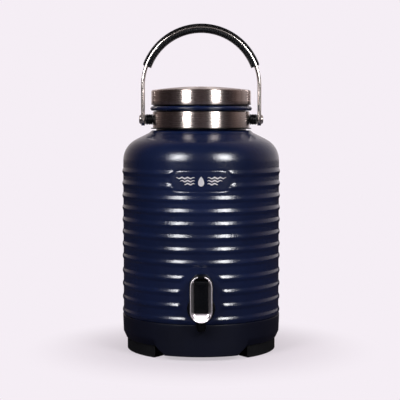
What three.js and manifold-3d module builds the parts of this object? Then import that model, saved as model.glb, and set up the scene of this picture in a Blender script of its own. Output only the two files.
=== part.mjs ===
// One gallon insulated drinks jug: double-wall ribbed steel body, screw lid, bail handle, push-lever tap.
// Millimetres, +Z up. The tap faces -Y. The origin is under the middle of the whole object's box.

import * as THREE from 'three';
import { mergeVertices } from 'three/addons/utils/BufferGeometryUtils.js';
import Module from 'manifold-3d';

const wasm = await Module();
wasm.setup();

// ---------------------------------------------------------------- driving dimensions

const GAP = 0.3;                 // play between pieces that touch
const ROUND = 28;                // sides of every large round piece
const SMALL = 16;                // sides of small round pieces
const ROUND_STEPS = 4;           // flats along the shoulder's round

// body
const BODY_R = 85.0;             // radius in the valleys between ribs
const RIB_RISE = 1.05;
const RIB_HALF = 3.6;            // half height of one rib
const SHELL_WALL = 0.8;
const SHOULDER_Z = 205.6;        // where the wall starts to round over
const SHOULDER_R = 25.3;         // round of the shoulder
const SHOULDER_H = 31.15;        // from there up to the foot of the neck
const LOWER_RIB_RISE = 4.5;      // lowest crest above the seam
const LOWER_RIB_PITCH = 14.4;
const LOWER_RIBS = 4;
const RIB_GROUP_GAP = 15.9;      // between the crests of the two groups
const UPPER_RIBS = 8;            // spread evenly up to the shoulder
const TOP_RIB_DROP = 11.6;       // highest crest below the start of the shoulder

// flat patches without ribs on the front
const EMBLEM_W = 65.0;
const EMBLEM_H = 21.5;
const EMBLEM_DROP = 18.6;        // middle of the patch below the start of the shoulder
const TAP_PAD_MARGIN_X = 10.1;
const TAP_PAD_MARGIN_LOW = 2.8;
const TAP_PAD_MARGIN_HIGH = 3.2;

// inner vessel and neck
const VACUUM_GAP = 8.0;          // from the outer wall to the outside of the inner vessel
const VESSEL_WALL = 0.6;
const VESSEL_FLOOR_RISE = 12.8;  // above the underside of the boot's floor
const VESSEL_CORNER = 14.0;
const VESSEL_SHOULDER_DROP = 3.0;
const NECK_R = 49.0;             // outside of the outer neck
const NECK_FOOT = 5.0;           // how far the foot of the neck spreads
const NECK_WALL = 3.6;           // both neck walls and the vacuum between them
const MOUTH_RING_H = 1.2;

// base
const BOOT_TOP = 38.0;
const BOOT_PROUD = 0.9;          // outside of the boot beyond the body's valleys
const BOOT_WALL = 2.4;
const BOOT_FLOOR_Z = 13.2;
const BOOT_FLOOR = 2.4;
const BOOT_STEP = 3.6;           // how far the boot draws in at its floor
const APRON_INSET = 1.2;
const APRON_LOW = 4.3;
const APRON_T = 6.0;
const APRON_ANGLE = 31;          // half angle of the front and back aprons
const FOOT_INSET = 4.7;
const FOOT_WIDTH = 17.0;
const FOOT_FROM = 37;            // degrees from the front or back
const FOOT_TO = 83;

// collar, bead, lid and thread; each height starts from the piece below
const COLLAR_STANDOFF = 3.7;     // outside of the collar beyond the neck
const COLLAR_WALL = 0.6;
const COLLAR_RISE = 4.35;
const COLLAR_H = 16.9;
const LIP_PROUD = 2.0;
const LIP_H = 1.4;
const BEAD_STANDOFF = 6.4;
const BEAD_RISE = 1.4;
const BEAD_H = 4.7;
const LID_STANDOFF = 5.35;
const LID_RISE = 1.6;
const LID_SIDE_H = 15.8;
const LID_DOME = 4.0;
const LID_WALL = 0.8;
const THREAD_H = 10.9;           // threaded length of the neck above the bead
const THREAD_RISE = 1.2;
const THREAD_LEAD = 18.0;
const THREAD_STARTS = 2;
const THREAD_TURNS = 0.8;
const PLUG_PLAY = 0.6;           // between the plug and the mouth
const PLUG_DEPTH = 13.0;
const PLUG_WALL = 2.0;
const GASKET_H = 1.8;

// handle
const PIVOT_RISE = 8.8;          // above the foot of the collar
const BOSS_R = 5.7;
const BOSS_LENGTH = 7.2;
const WASHER_T = 0.8;
const STRAP_T = 4.0;
const STRAP_W = 14.0;
const LEG_LENGTH = 36.0;         // from the pivot to the centre of the arch
const SCREW_R = 2.0;
const SCREW_HEAD_R = 5.0;
const SCREW_HEAD_T = 2.0;
const GRIP_ANGLE = 70;           // half angle of the grip from the top
const GRIP_BASE_T = 3.0;         // black channel under the strap
const GRIP_LIP_T = 1.7;
const GRIP_LIP_RISE = 2.7;       // how far the channel's lips cover the strap's edges
const GRIP_COVER_T = 1.6;
const GRIP_COVER_MARGIN = 1.0;   // on each side of the strap
const GRIP_SCREW_ANGLE = 52;
const GRIP_SCREW_R = 1.3;
const GRIP_HEAD_R = 2.6;

// tap
const TAP_DEPTH = 17.0;          // front of the tap from the body's wall
const TAP_W = 22.8;
const TAP_RISE = 4.8;            // lower end above the seam
const TAP_H = 49.0;
const TAP_RIM = 1.0;
const FRAME_T = 4.8;
const HOUSING_MARGIN = 0.9;      // black housing proud of the steel frame
const HOUSING_STANDOFF = 3.0;
const VALVE_RISE = 13.2;         // middle of the shank above the tap's lower end
const VALVE_BOSS_R = 14.6;
const LEVER_MARGIN = 4.1;        // from the lever's side to the frame's outside
const LEVER_RISE = 10.0;
const LEVER_T = 3.8;
const LEVER_PIN_RISE = 3.6;      // lever pin above the centre of the frame's round upper end
const KNUCKLE_R = 2.0;
const LEVER_PIN_R = 0.9;
const NOZZLE_BEHIND = 10.5;      // nozzle's axis behind the tap's front
const NOZZLE_R = 5.25;
const NOZZLE_DROP = 9.8;
const NOZZLE_BORE = 2.2;
const SEAT_RISE = 3.2;
const STEM_BORE = 3.0;
const STEM_R = 1.2;
const STEM_H = 29.0;             // top of the stem above the valve's seat
const VALVE_LIFT = 4.0;
const SHANK_R = 7.6;
const SHANK_BORE = 2.8;
const SHANK_LENGTH = 21.0;
const SEAL_MARGIN = 3.3;         // seal between the tap and the wall, beyond the shank
const SEAL_T = 2.0;
const TUBE_WALL = 0.8;
const NUT_MARGIN = 4.9;
const NUT_T = 5.0;
const NUT_WASHER_T = 2.4;

// ---------------------------------------------------------------- derived places

const rad = THREE.MathUtils.degToRad;

// radii about the body's axis
const RIB_R = BODY_R + RIB_RISE;
const VESSEL_R = BODY_R - VACUUM_GAP;
const BOOT_R = BODY_R + BOOT_PROUD;
const NECK_FOOT_R = NECK_R + NECK_FOOT;
const MOUTH_R = NECK_R - NECK_WALL;        // inside of the mouth
const COLLAR_R = NECK_R + COLLAR_STANDOFF;
const LIP_R = COLLAR_R + LIP_PROUD;
const BEAD_R = NECK_R + BEAD_STANDOFF;
const LID_R = NECK_R + LID_STANDOFF;
const PLUG_R = MOUTH_R - PLUG_PLAY;
const BOSS_END = COLLAR_R + BOSS_LENGTH;   // outer end of each boss
const STRAP_IN = BOSS_END + WASHER_T + 2 * GAP;
const STRAP_OUT = STRAP_IN + STRAP_T;
const GASKET_R = SHANK_R + SEAL_MARGIN;
const NUT_R = SHANK_R + NUT_MARGIN;

// heights
const LOWER_RIB_Z = BOOT_TOP + LOWER_RIB_RISE;
const UPPER_RIB_Z = LOWER_RIB_Z + (LOWER_RIBS - 1) * LOWER_RIB_PITCH + RIB_GROUP_GAP;
const UPPER_RIB_PITCH = (SHOULDER_Z - TOP_RIB_DROP - UPPER_RIB_Z) / (UPPER_RIBS - 1);
const EMBLEM_Z = SHOULDER_Z - EMBLEM_DROP;
const VESSEL_FLOOR = BOOT_FLOOR_Z + VESSEL_FLOOR_RISE;
const COLLAR_LOW = SHOULDER_Z + SHOULDER_H + COLLAR_RISE;
const COLLAR_HIGH = COLLAR_LOW + COLLAR_H;
const BEAD_LOW = COLLAR_HIGH + BEAD_RISE;
const BEAD_HIGH = BEAD_LOW + BEAD_H;
const NECK_TOP = BEAD_HIGH + THREAD_H;
const LID_LOW = BEAD_HIGH + LID_RISE;
const LID_SIDE_TOP = LID_LOW + LID_SIDE_H;
const LID_APEX = LID_SIDE_TOP + LID_DOME;
const PLUG_LOW = NECK_TOP - PLUG_DEPTH;
const PIVOT_Z = COLLAR_LOW + PIVOT_RISE;
const ARCH_Z = PIVOT_Z + LEG_LENGTH;
const TAP_LOW = BOOT_TOP + TAP_RISE;
const TAP_HIGH = TAP_LOW + TAP_H;
const VALVE_Z = TAP_LOW + VALVE_RISE;      // height of the shank
const LEVER_LOW = TAP_LOW + LEVER_RISE;
const LEVER_PIVOT_Z = TAP_HIGH - TAP_W / 2 + LEVER_PIN_RISE;
const NOZZLE_LOW = TAP_LOW - NOZZLE_DROP;
const SEAT_Z = TAP_LOW + SEAT_RISE;
const STEM_TOP = SEAT_Z + STEM_H;

// the tap's places towards the front
const TAP_REACH = BODY_R + TAP_DEPTH;
const AXIS_Y = (TAP_REACH - RIB_R) / 2;    // body axis, so that the origin is mid-box
const HOUSING_BACK = BODY_R + HOUSING_STANDOFF;
const FRAME_BACK = TAP_REACH - FRAME_T;
const HOUSING_FRONT = FRAME_BACK - GAP;
const LEVER_PIVOT_Y = HOUSING_FRONT + GAP + KNUCKLE_R;
const LEVER_W = TAP_W - 2 * LEVER_MARGIN;
const NOZZLE_REACH = TAP_REACH - NOZZLE_BEHIND;

/** Slope of the shoulder's cone, which leaves the round smoothly and ends at the foot of the neck. */
const CONE_SLOPE = (() => {
  const [across, up] = [NECK_FOOT_R - (BODY_R - SHOULDER_R), SHOULDER_H];
  return Math.PI / 2 - Math.atan2(up, across) + Math.acos(SHOULDER_R / Math.hypot(across, up));
})();

// ---------------------------------------------------------------- finishes

const finish = (color, roughness, metalness) => new THREE.MeshStandardMaterial({ color, roughness, metalness });
const navyPaint = finish(0x1b2547, 0.4, 0.2);
const bootPlastic = finish(0x14151c, 0.55, 0.0);
const footRubber = finish(0x0e0e12, 0.85, 0.0);
const blackPlastic = finish(0x0b0b0e, 0.45, 0.0);
const brushedSteel = finish(0xb9b3ae, 0.3, 1.0);
const polishedSteel = finish(0xd8d4d6, 0.12, 1.0);
const vesselSteel = finish(0xa9a9ab, 0.4, 1.0);
const siliconeSeal = finish(0xd9d9d4, 0.7, 0.0);
const foam = finish(0xe6e0cc, 0.9, 0.0);

// ---------------------------------------------------------------- solids

/** Closed manifold solid from any closed three.js geometry, faces turned outwards. */
function solid(geometry) {
  let shell = geometry.clone();
  for (const name of Object.keys(shell.attributes)) if (name !== 'position') shell.deleteAttribute(name);
  if (!shell.index) shell = mergeVertices(shell, 1e-4);
  shell = mergeVertices(shell, 1e-4);
  const spots = shell.attributes.position.array;
  const corners = Array.from(shell.index.array);
  const point = (i) => new THREE.Vector3().fromArray(spots, i * 3);
  const faces = [];
  let volume = 0;
  for (let i = 0; i < corners.length; i += 3) {
    const [a, b, c] = corners.slice(i, i + 3);
    if (a === b || b === c || c === a) continue;
    volume += point(a).dot(point(b).cross(point(c)));
    faces.push([a, b, c]);
  }
  const triVerts = new Uint32Array(faces.flatMap(([a, b, c]) => (volume < 0 ? [a, c, b] : [a, b, c])));
  return new wasm.Manifold(new wasm.Mesh({ numProp: 3, vertProperties: new Float32Array(spots), triVerts }));
}

/** Solid turned about the body's own axis from [radius, height] pairs. */
function turned(profile, sides = ROUND) {
  const points = profile.map(([r, z]) => new THREE.Vector2(r, z));
  return solid(new THREE.LatheGeometry(points, sides).rotateX(Math.PI / 2));
}

/** Ring with a closed profile. */
const ring = (profile, sides = ROUND) => turned([...profile, profile[0]], sides);

/** Plain ring between two radii and two heights. */
const plainRing = (inner, outer, low, high, sides = ROUND) =>
  ring([[inner, low], [outer, low], [outer, high], [inner, high]], sides);

/** Round bar from a to b along 'x', 'y' or 'z', centred on the other two coordinates. */
function bar(axis, radius, a, b, centre = [0, 0], sides = SMALL) {
  const geometry = new THREE.CylinderGeometry(radius, radius, Math.abs(b - a), sides);
  const middle = (a + b) / 2;
  if (axis === 'x') geometry.rotateZ(Math.PI / 2).translate(middle, centre[0], centre[1]);
  if (axis === 'y') geometry.translate(centre[0], middle, centre[1]);
  if (axis === 'z') geometry.rotateX(Math.PI / 2).translate(centre[0], centre[1], middle);
  return solid(geometry);
}

/** Box between two corners. */
function block(low, high) {
  const size = high.map((value, i) => value - low[i]);
  const middle = high.map((value, i) => (value + low[i]) / 2);
  return solid(new THREE.BoxGeometry(...size).translate(...middle));
}

/** Upright or lying stadium outline in x and z. */
function stadium(width, low, high, steps = 8) {
  const shape = new THREE.Shape();
  const middle = (low + high) / 2;
  const height = high - low;
  const radius = Math.min(width, height) / 2;
  const alongX = Math.max(width / 2 - radius, 0);
  const alongZ = Math.max(height / 2 - radius, 0);
  const upright = [[0, alongZ, 0], [0, -alongZ, Math.PI]];
  const lying = [[alongX, 0, -Math.PI / 2], [-alongX, 0, Math.PI / 2]];
  const ends = alongZ > 0 ? upright : lying;
  const points = [];
  for (const [x, z, start] of ends) {
    for (let i = 0; i <= steps; i++) {
      const angle = start + (i / steps) * Math.PI;
      points.push(new THREE.Vector2(x + radius * Math.cos(angle), middle + z + radius * Math.sin(angle)));
    }
  }
  return shape.setFromPoints(points);
}

/** Extrusion of an x-z outline through the body's front, from one reach to another along -Y. */
function frontPrism(shape, near, far) {
  const geometry = new THREE.ExtrudeGeometry(shape, { depth: far - near, bevelEnabled: false });
  return solid(geometry.rotateX(Math.PI / 2).translate(0, -near, 0));
}

/** Solid between two outlines with equally many points, at two reaches along -Y. */
function frontLoft(nearShape, near, farShape, far) {
  const front = farShape.getPoints();
  const back = nearShape.getPoints();
  const count = front.length;
  const spots = [];
  for (const p of back) spots.push(p.x, -near, p.y);
  for (const p of front) spots.push(p.x, -far, p.y);
  const faces = [];
  for (let i = 0; i < count; i++) {
    const next = (i + 1) % count;
    faces.push(i, next, count + i, next, count + next, count + i);
  }
  for (let i = 1; i < count - 1; i++) faces.push(0, i + 1, i, count, count + i, count + i + 1);
  const geometry = new THREE.BufferGeometry();
  geometry.setAttribute('position', new THREE.Float32BufferAttribute(spots, 3));
  geometry.setIndex(faces);
  return solid(geometry);
}

const jug = new THREE.Group();

/** Adds one named piece, given in coordinates about the body's axis. */
function place(name, manifold, material, group = jug) {
  const { numProp, vertProperties, triVerts } = manifold.getMesh();
  const spots = new Float32Array((vertProperties.length / numProp) * 3);
  for (let i = 0; i < spots.length / 3; i++) {
    spots.set(vertProperties.subarray(i * numProp, i * numProp + 3), i * 3);
  }
  const geometry = new THREE.BufferGeometry();
  geometry.setAttribute('position', new THREE.BufferAttribute(spots, 3));
  geometry.setIndex(Array.from(triVerts));
  geometry.computeVertexNormals();
  const mesh = new THREE.Mesh(geometry, material);
  mesh.name = name;
  mesh.position.set(0, AXIS_Y, 0);
  group.add(mesh);
  return mesh;
}

// ---------------------------------------------------------------- body shells

/** Shoulder and neck outline going up, at a distance inside the outer surface. */
function shoulderOutline(inset, neckTop) {
  const round = SHOULDER_R - inset;
  const centreR = BODY_R - SHOULDER_R;
  const points = [];
  for (let i = 0; i <= ROUND_STEPS; i++) {
    const turn = (i / ROUND_STEPS) * (Math.PI / 2 - CONE_SLOPE);
    points.push([centreR + round * Math.cos(turn), SHOULDER_Z + round * Math.sin(turn)]);
  }
  const [lastR, lastZ] = points[points.length - 1];
  const footR = NECK_FOOT_R - inset;
  const footZ = lastZ + (lastR - footR) * Math.tan(CONE_SLOPE);
  const neck = NECK_R - inset;
  return [...points, [footR, footZ], [neck, footZ + 0.6], [neck, neckTop]];
}

/** Wall going up through every rib. */
function ribbedOutline() {
  const points = [];
  const rib = (z) => points.push([BODY_R, z - RIB_HALF], [RIB_R, z], [BODY_R, z + RIB_HALF]);
  for (let i = 0; i < LOWER_RIBS; i++) rib(LOWER_RIB_Z + i * LOWER_RIB_PITCH);
  for (let i = 0; i < UPPER_RIBS; i++) rib(UPPER_RIB_Z + i * UPPER_RIB_PITCH);
  return points;
}

const bulgeZ = BOOT_FLOOR_Z + 6.5;         // where the boot's side meets its step
const skirtLow = bulgeZ + 1.5;             // foot of the shell inside the boot

function outerShell() {
  const skirtR = BOOT_R - BOOT_WALL - GAP;
  const seam = BOOT_TOP + GAP;
  const outside = [[skirtR, skirtLow], [skirtR, seam], [BODY_R, seam], ...ribbedOutline(),
    ...shoulderOutline(0, NECK_TOP)];
  const inside = [...shoulderOutline(SHELL_WALL, NECK_TOP).reverse(),
    [BODY_R - SHELL_WALL, seam + SHELL_WALL], [skirtR - SHELL_WALL, seam + SHELL_WALL],
    [skirtR - SHELL_WALL, skirtLow]];
  const [near, far] = [BODY_R - 25, BODY_R + 5];
  const emblem = frontPrism(stadium(EMBLEM_W, EMBLEM_Z - EMBLEM_H / 2, EMBLEM_Z + EMBLEM_H / 2), near, far);
  const [padLow, padHigh] = [TAP_LOW - TAP_PAD_MARGIN_LOW, TAP_HIGH + TAP_PAD_MARGIN_HIGH];
  const tapPad = frontPrism(stadium(TAP_W + 2 * TAP_PAD_MARGIN_X, padLow, padHigh), near, far);
  const ribZone = plainRing(BODY_R, RIB_R + 1, BOOT_TOP, SHOULDER_Z);
  const tubeHole = bar('y', SHANK_R + GAP + TUBE_WALL + GAP, -BODY_R - 3, -BODY_R + 15, [0, VALVE_Z]);
  return ring([...outside, ...inside]).subtract(emblem.add(tapPad).intersect(ribZone)).subtract(tubeHole);
}

function neckThread() {
  const steps = 12;
  const low = BEAD_HIGH + 0.5;
  const profile = [[-0.6, -1.1], [THREAD_RISE, -0.4], [THREAD_RISE, 0.4], [-0.6, 1.1]];
  const strands = [];
  for (let start = 0; start < THREAD_STARTS; start++) {
    const spots = [];
    const lead = Math.min((NECK_TOP - low - 3.2) / THREAD_TURNS, THREAD_LEAD);
    for (let i = 0; i <= steps; i++) {
      const angle = (i / steps) * THREAD_TURNS * 2 * Math.PI + (start / THREAD_STARTS) * 2 * Math.PI;
      const height = low + 1.6 + (i / steps) * THREAD_TURNS * lead;
      const swell = Math.min(1, i / 2, (steps - i) / 2);
      for (const [out, up] of profile) {
        const r = NECK_R + (out > 0 ? out * swell + 0.05 : out);
        spots.push(r * Math.cos(angle), r * Math.sin(angle), height + up);
      }
    }
    const faces = [0, 1, 2, 0, 2, 3];
    for (let i = 0; i < steps; i++) {
      for (let j = 0; j < 4; j++) {
        const [a, b] = [i * 4 + j, i * 4 + ((j + 1) % 4)];
        faces.push(a, a + 4, b, b, a + 4, b + 4);
      }
    }
    const last = steps * 4;
    faces.push(last, last + 2, last + 1, last, last + 3, last + 2);
    const geometry = new THREE.BufferGeometry();
    geometry.setAttribute('position', new THREE.Float32BufferAttribute(spots, 3));
    geometry.setIndex(faces);
    strands.push(solid(geometry));
  }
  return strands.reduce((all, strand) => all.add(strand));
}

function innerVessel() {
  const wall = (r, floorZ) => [[0, floorZ], [r - VESSEL_CORNER, floorZ],
    [r - VESSEL_CORNER * 0.3, floorZ + VESSEL_CORNER * 0.3], [r, floorZ + VESSEL_CORNER]];
  const top = (inset) => {
    const outline = shoulderOutline(VACUUM_GAP + inset, NECK_TOP).slice(0, ROUND_STEPS + 2);
    const shoulder = outline.map(([r, z]) => [r, z - VESSEL_SHOULDER_DROP]);
    const neck = MOUTH_R + VESSEL_WALL - inset;
    return [...shoulder.filter(([r]) => r > neck + 2), [neck, shoulder.at(-1)[1] + 1], [neck, NECK_TOP]];
  };
  const outside = [...wall(VESSEL_R, VESSEL_FLOOR), ...top(0)];
  const inside = [...wall(VESSEL_R - VESSEL_WALL, VESSEL_FLOOR + VESSEL_WALL), ...top(VESSEL_WALL)].reverse();
  const tubeHole = bar('y', SHANK_R + GAP, -BODY_R, -VESSEL_R + 15, [0, VALVE_Z]);
  return turned([...outside, ...inside]).subtract(tubeHole);
}

place('outer_shell', outerShell().add(neckThread()), navyPaint);
place('inner_vessel', innerVessel(), vesselSteel);
place('mouth_ring', plainRing(MOUTH_R, NECK_R, NECK_TOP + GAP, NECK_TOP + GAP + MOUTH_RING_H), vesselSteel);

// ---------------------------------------------------------------- tube, bottom and base

const tubeInner = SHANK_R + GAP;
const tubeOuter = tubeInner + TUBE_WALL;
const tapTube = bar('y', tubeOuter, -(BODY_R - SHELL_WALL / 2), -(VESSEL_R + GAP), [0, VALVE_Z])
  .subtract(bar('y', tubeInner, -BODY_R - 5, -VESSEL_R + 15, [0, VALVE_Z]));
place('tap_tube', tapTube, vesselSteel);

const skirtInner = BOOT_R - BOOT_WALL - GAP - SHELL_WALL - GAP;
const bottomZ = skirtLow + 2 * GAP;
const bottomDisc = turned([[0, bottomZ], [skirtInner, bottomZ], [skirtInner, bottomZ + 5],
  [skirtInner - SHELL_WALL, bottomZ + 5], [skirtInner - SHELL_WALL, bottomZ + SHELL_WALL],
  [0, bottomZ + SHELL_WALL]]);
place('outer_bottom', bottomDisc, vesselSteel);
const sealZ = bottomZ + SHELL_WALL + GAP;
const sealButton = turned([[0, sealZ], [6, sealZ], [5, sealZ + 2], [0, sealZ + 2]], SMALL);
place('vacuum_seal_button', sealButton, vesselSteel);

/** Wedge of the base between two bearings from the front, seen from the axis. */
function sector(from, to, low, high) {
  const reach = BOOT_R * 1.4;
  const shape = new THREE.Shape();
  shape.moveTo(0, 0);
  for (const angle of [from, (from + to) / 2, to]) {
    shape.lineTo(reach * Math.sin(rad(angle)), -reach * Math.cos(rad(angle)));
  }
  const geometry = new THREE.ExtrudeGeometry(shape, { depth: high - low, bevelEnabled: false });
  return solid(geometry.translate(0, 0, low));
}

function baseBoot() {
  const inner = BOOT_R - BOOT_WALL;
  const stepR = BOOT_R - BOOT_STEP;
  const apronR = BOOT_R - APRON_INSET;
  const floorTop = BOOT_FLOOR_Z + BOOT_FLOOR;
  const sideR = BOOT_R - 0.7;
  const cup = turned([[0, BOOT_FLOOR_Z], [stepR, BOOT_FLOOR_Z], [sideR, bulgeZ], [BOOT_R, BOOT_TOP - 0.6],
    [BOOT_R - 0.6, BOOT_TOP], [inner, BOOT_TOP], [inner, bulgeZ + 1], [inner - 2.5, floorTop],
    [0, floorTop]]);
  const within = floorTop - 0.7;
  const apronIn = apronR - APRON_T;
  const apron = ring([[apronIn, APRON_LOW], [apronR - 0.8, APRON_LOW], [apronR, APRON_LOW + 1],
    [sideR - 0.05, bulgeZ - 0.5], [sideR - 1.2, bulgeZ - 0.5], [stepR - 0.3, within], [apronIn, within]]);
  const [low, high] = [APRON_LOW - 1, BOOT_TOP];
  const wedges = sector(-APRON_ANGLE, APRON_ANGLE, low, high)
    .add(sector(180 - APRON_ANGLE, 180 + APRON_ANGLE, low, high));
  return cup.add(apron.intersect(wedges));
}

function foot(from, to) {
  const [outer, top] = [BOOT_R - FOOT_INSET, BOOT_FLOOR_Z - GAP];
  const inner = outer - FOOT_WIDTH;
  const pad = ring([[inner + 1, 0], [outer - 1, 0], [outer, 1], [outer, top], [inner, top], [inner, 1]]);
  return pad.intersect(sector(from, to, -1, top + 1));
}

place('base_boot', baseBoot(), bootPlastic);
place('foot_front_right', foot(FOOT_FROM, FOOT_TO), footRubber);
place('foot_back_right', foot(180 - FOOT_TO, 180 - FOOT_FROM), footRubber);
place('foot_back_left', foot(180 + FOOT_FROM, 180 + FOOT_TO), footRubber);
place('foot_front_left', foot(-FOOT_TO, -FOOT_FROM), footRubber);

// ---------------------------------------------------------------- neck, collar and pivots

const beadInner = NECK_R + 2 * GAP;
const beadMiddle = (BEAD_LOW + BEAD_HIGH) / 2;
const bead = ring([[beadInner, BEAD_LOW], [BEAD_R - 1.6, BEAD_LOW], [BEAD_R, beadMiddle - 0.5],
  [BEAD_R, beadMiddle + 0.5], [BEAD_R - 1.6, BEAD_HIGH], [beadInner, BEAD_HIGH]]);
place('neck_bead', bead, navyPaint);

const bandInner = COLLAR_R - COLLAR_WALL;
const linerR = bandInner - GAP;
const bossStubR = BOSS_R - 2.2;
const pivotBar = (radius, from, to) => bar('x', radius, from, to, [0, PIVOT_Z]);
const pivots = (radius, from, to) => pivotBar(radius, from, to).add(pivotBar(radius, -from, -to));
const band = plainRing(bandInner, COLLAR_R, COLLAR_LOW, COLLAR_HIGH);
place('collar_band', band.subtract(pivots(bossStubR + GAP, bandInner - 4, COLLAR_R + 3)), brushedSteel);
const liner = ring([[beadInner, COLLAR_LOW - LIP_H], [LIP_R, COLLAR_LOW - LIP_H], [LIP_R, COLLAR_LOW - GAP],
  [linerR, COLLAR_LOW - GAP], [linerR, COLLAR_HIGH + 0.8], [beadInner, COLLAR_HIGH + 0.8]]);
place('collar_liner', liner, blackPlastic);

const screwEnd = COLLAR_R + 1.6;
const headIn = STRAP_OUT + GAP;
for (const [side, name] of [[1, 'right'], [-1, 'left']]) {
  const along = (radius, from, to, sides) => bar('x', radius, side * from, side * to, [0, PIVOT_Z], sides);
  const boss = along(BOSS_R, COLLAR_R + GAP, BOSS_END, 20).add(along(bossStubR, linerR + GAP, COLLAR_R + 2));
  place(`pivot_boss_${name}`, boss.subtract(along(SCREW_R + GAP, screwEnd, BOSS_END + 1)), blackPlastic);
  const washer = along(BOSS_R - 0.4, BOSS_END + GAP, BOSS_END + GAP + WASHER_T, 20);
  place(`pivot_washer_${name}`, washer.subtract(along(SCREW_R + GAP, BOSS_END, BOSS_END + 3)), siliconeSeal);
  const head = along(SCREW_HEAD_R, headIn, headIn + SCREW_HEAD_T * 0.6, 20)
    .add(along(SCREW_HEAD_R - 1.2, headIn, headIn + SCREW_HEAD_T, 20));
  place(`pivot_screw_${name}`, head.add(along(SCREW_R, screwEnd + GAP, headIn + 0.5)), polishedSteel);
}

// ---------------------------------------------------------------- bail handle

/** Arched bar in x and z: straight legs down to a height, arch between two radii, width along y. */
function arch(inner, outer, width, legEnd) {
  const steps = 20;
  const at = (radius, i) => {
    const angle = (i / steps) * Math.PI;
    return new THREE.Vector2(radius * Math.cos(angle), ARCH_Z + radius * Math.sin(angle));
  };
  const points = [new THREE.Vector2(outer, legEnd)];
  for (let i = 0; i <= steps; i++) points.push(at(outer, i));
  points.push(new THREE.Vector2(-outer, legEnd), new THREE.Vector2(-inner, legEnd));
  for (let i = steps; i >= 0; i--) points.push(at(inner, i));
  points.push(new THREE.Vector2(inner, legEnd));
  return frontPrism(new THREE.Shape(points), -width / 2, width / 2);
}

/** Part of an arched bar within an angle of the top. */
function archSlice(inner, outer, width, half) {
  const steps = 16;
  const points = [];
  const add = (radius, from, to) => {
    for (let i = 0; i <= steps; i++) {
      const angle = rad(90 + from + ((to - from) * i) / steps);
      points.push(new THREE.Vector2(radius * Math.cos(angle), ARCH_Z + radius * Math.sin(angle)));
    }
  };
  add(outer, -half, half);
  add(inner, half, -half);
  return frontPrism(new THREE.Shape(points), -width / 2, width / 2);
}

/** Round pin pointing from the arch's centre, between two radii, at an angle from the top. */
function archPin(radius, from, to, angle) {
  const geometry = new THREE.CylinderGeometry(radius, radius, to - from, 12).translate(0, (from + to) / 2, 0);
  return solid(geometry.rotateX(Math.PI / 2).rotateY(rad(angle)).translate(0, 0, ARCH_Z));
}

const gripIn = STRAP_IN - GAP - GRIP_BASE_T;
const gripLipOut = STRAP_IN + GRIP_LIP_RISE;
const lipGap = STRAP_W / 2 + GAP;
const pinHoles = (radius, from, to) =>
  archPin(radius, from, to, -GRIP_SCREW_ANGLE).add(archPin(radius, from, to, GRIP_SCREW_ANGLE));
const coverIn = STRAP_OUT + GAP;

const eyeReach = STRAP_OUT + 5;
const eye = bar('x', STRAP_W / 2, -eyeReach, eyeReach, [0, PIVOT_Z], 20)
  .add(block([-eyeReach, -STRAP_W, PIVOT_Z], [eyeReach, STRAP_W, ARCH_Z + eyeReach]));
const strap = arch(STRAP_IN, STRAP_OUT, STRAP_W, PIVOT_Z - STRAP_W / 2 - 1).intersect(eye)
  .subtract(pivots(SCREW_R + GAP, STRAP_IN - 2, STRAP_OUT + 2))
  .subtract(pinHoles(GRIP_SCREW_R + GAP, STRAP_IN - 2, STRAP_OUT + 2));
place('handle_strap', strap, polishedSteel);

const gripBase = archSlice(gripIn, gripLipOut, 2 * (lipGap + GRIP_LIP_T), GRIP_ANGLE)
  .subtract(archSlice(STRAP_IN - GAP, gripLipOut + 4, 2 * lipGap, GRIP_ANGLE + 10))
  .subtract(pinHoles(GRIP_SCREW_R + GAP, gripIn - 2, gripIn + 8))
  .subtract(pinHoles(GRIP_HEAD_R + GAP, gripIn - 2, gripIn + 1.6));
place('grip_base', gripBase, blackPlastic);
const gripCover = archSlice(coverIn, coverIn + GRIP_COVER_T, STRAP_W + 2 * GRIP_COVER_MARGIN, GRIP_ANGLE)
  .subtract(pinHoles(GRIP_SCREW_R + GAP, coverIn - 2, coverIn + 1.4));
place('grip_cover', gripCover, blackPlastic);
for (const [angle, name] of [[GRIP_SCREW_ANGLE, 'right'], [-GRIP_SCREW_ANGLE, 'left']]) {
  const screw = archPin(GRIP_HEAD_R, gripIn + 0.2, gripIn + 1.3, angle)
    .add(archPin(GRIP_SCREW_R, gripIn + 1, coverIn + 1, angle));
  place(`grip_screw_${name}`, screw, polishedSteel);
}

// ---------------------------------------------------------------- screw lid

/** Domed top going out from the axis, at a distance below the outer dome. */
function dome(inset, radius) {
  const sphere = (LID_R ** 2 + (LID_APEX - LID_SIDE_TOP) ** 2) / (2 * (LID_APEX - LID_SIDE_TOP));
  const height = (r) => LID_APEX - inset - (sphere - Math.sqrt(sphere ** 2 - r ** 2));
  return [0, 0.35, 0.7, 1].map((share) => [radius * share, height(radius * share)]);
}

const lidInner = LID_R - LID_WALL;
const coreR = lidInner - GAP;
const rollR = 1.0;               // rolled edge of the cap
const cap = [...dome(0, LID_R - rollR), [LID_R, LID_SIDE_TOP - rollR], [LID_R, LID_LOW], [lidInner, LID_LOW],
  ...dome(LID_WALL, lidInner).reverse()];
place('lid_shell', turned(cap), brushedSteel);

const mouthTop = NECK_TOP + GAP + MOUTH_RING_H;
const gasketLow = mouthTop + GAP;
const plateLow = gasketLow + GASKET_H + GAP;
const skirtBore = NECK_R + THREAD_RISE + 2 * GAP;
const skirtFoot = BEAD_HIGH + GAP;
const lipR = skirtBore + 1.4;
const core = [[0, plateLow], [skirtBore, plateLow], [skirtBore, skirtFoot], [lipR, skirtFoot],
  [lipR, LID_LOW + GAP], [coreR, LID_LOW + GAP + 0.6], ...dome(LID_WALL + GAP, coreR).reverse()];
place('lid_core', turned(core), blackPlastic);

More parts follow.
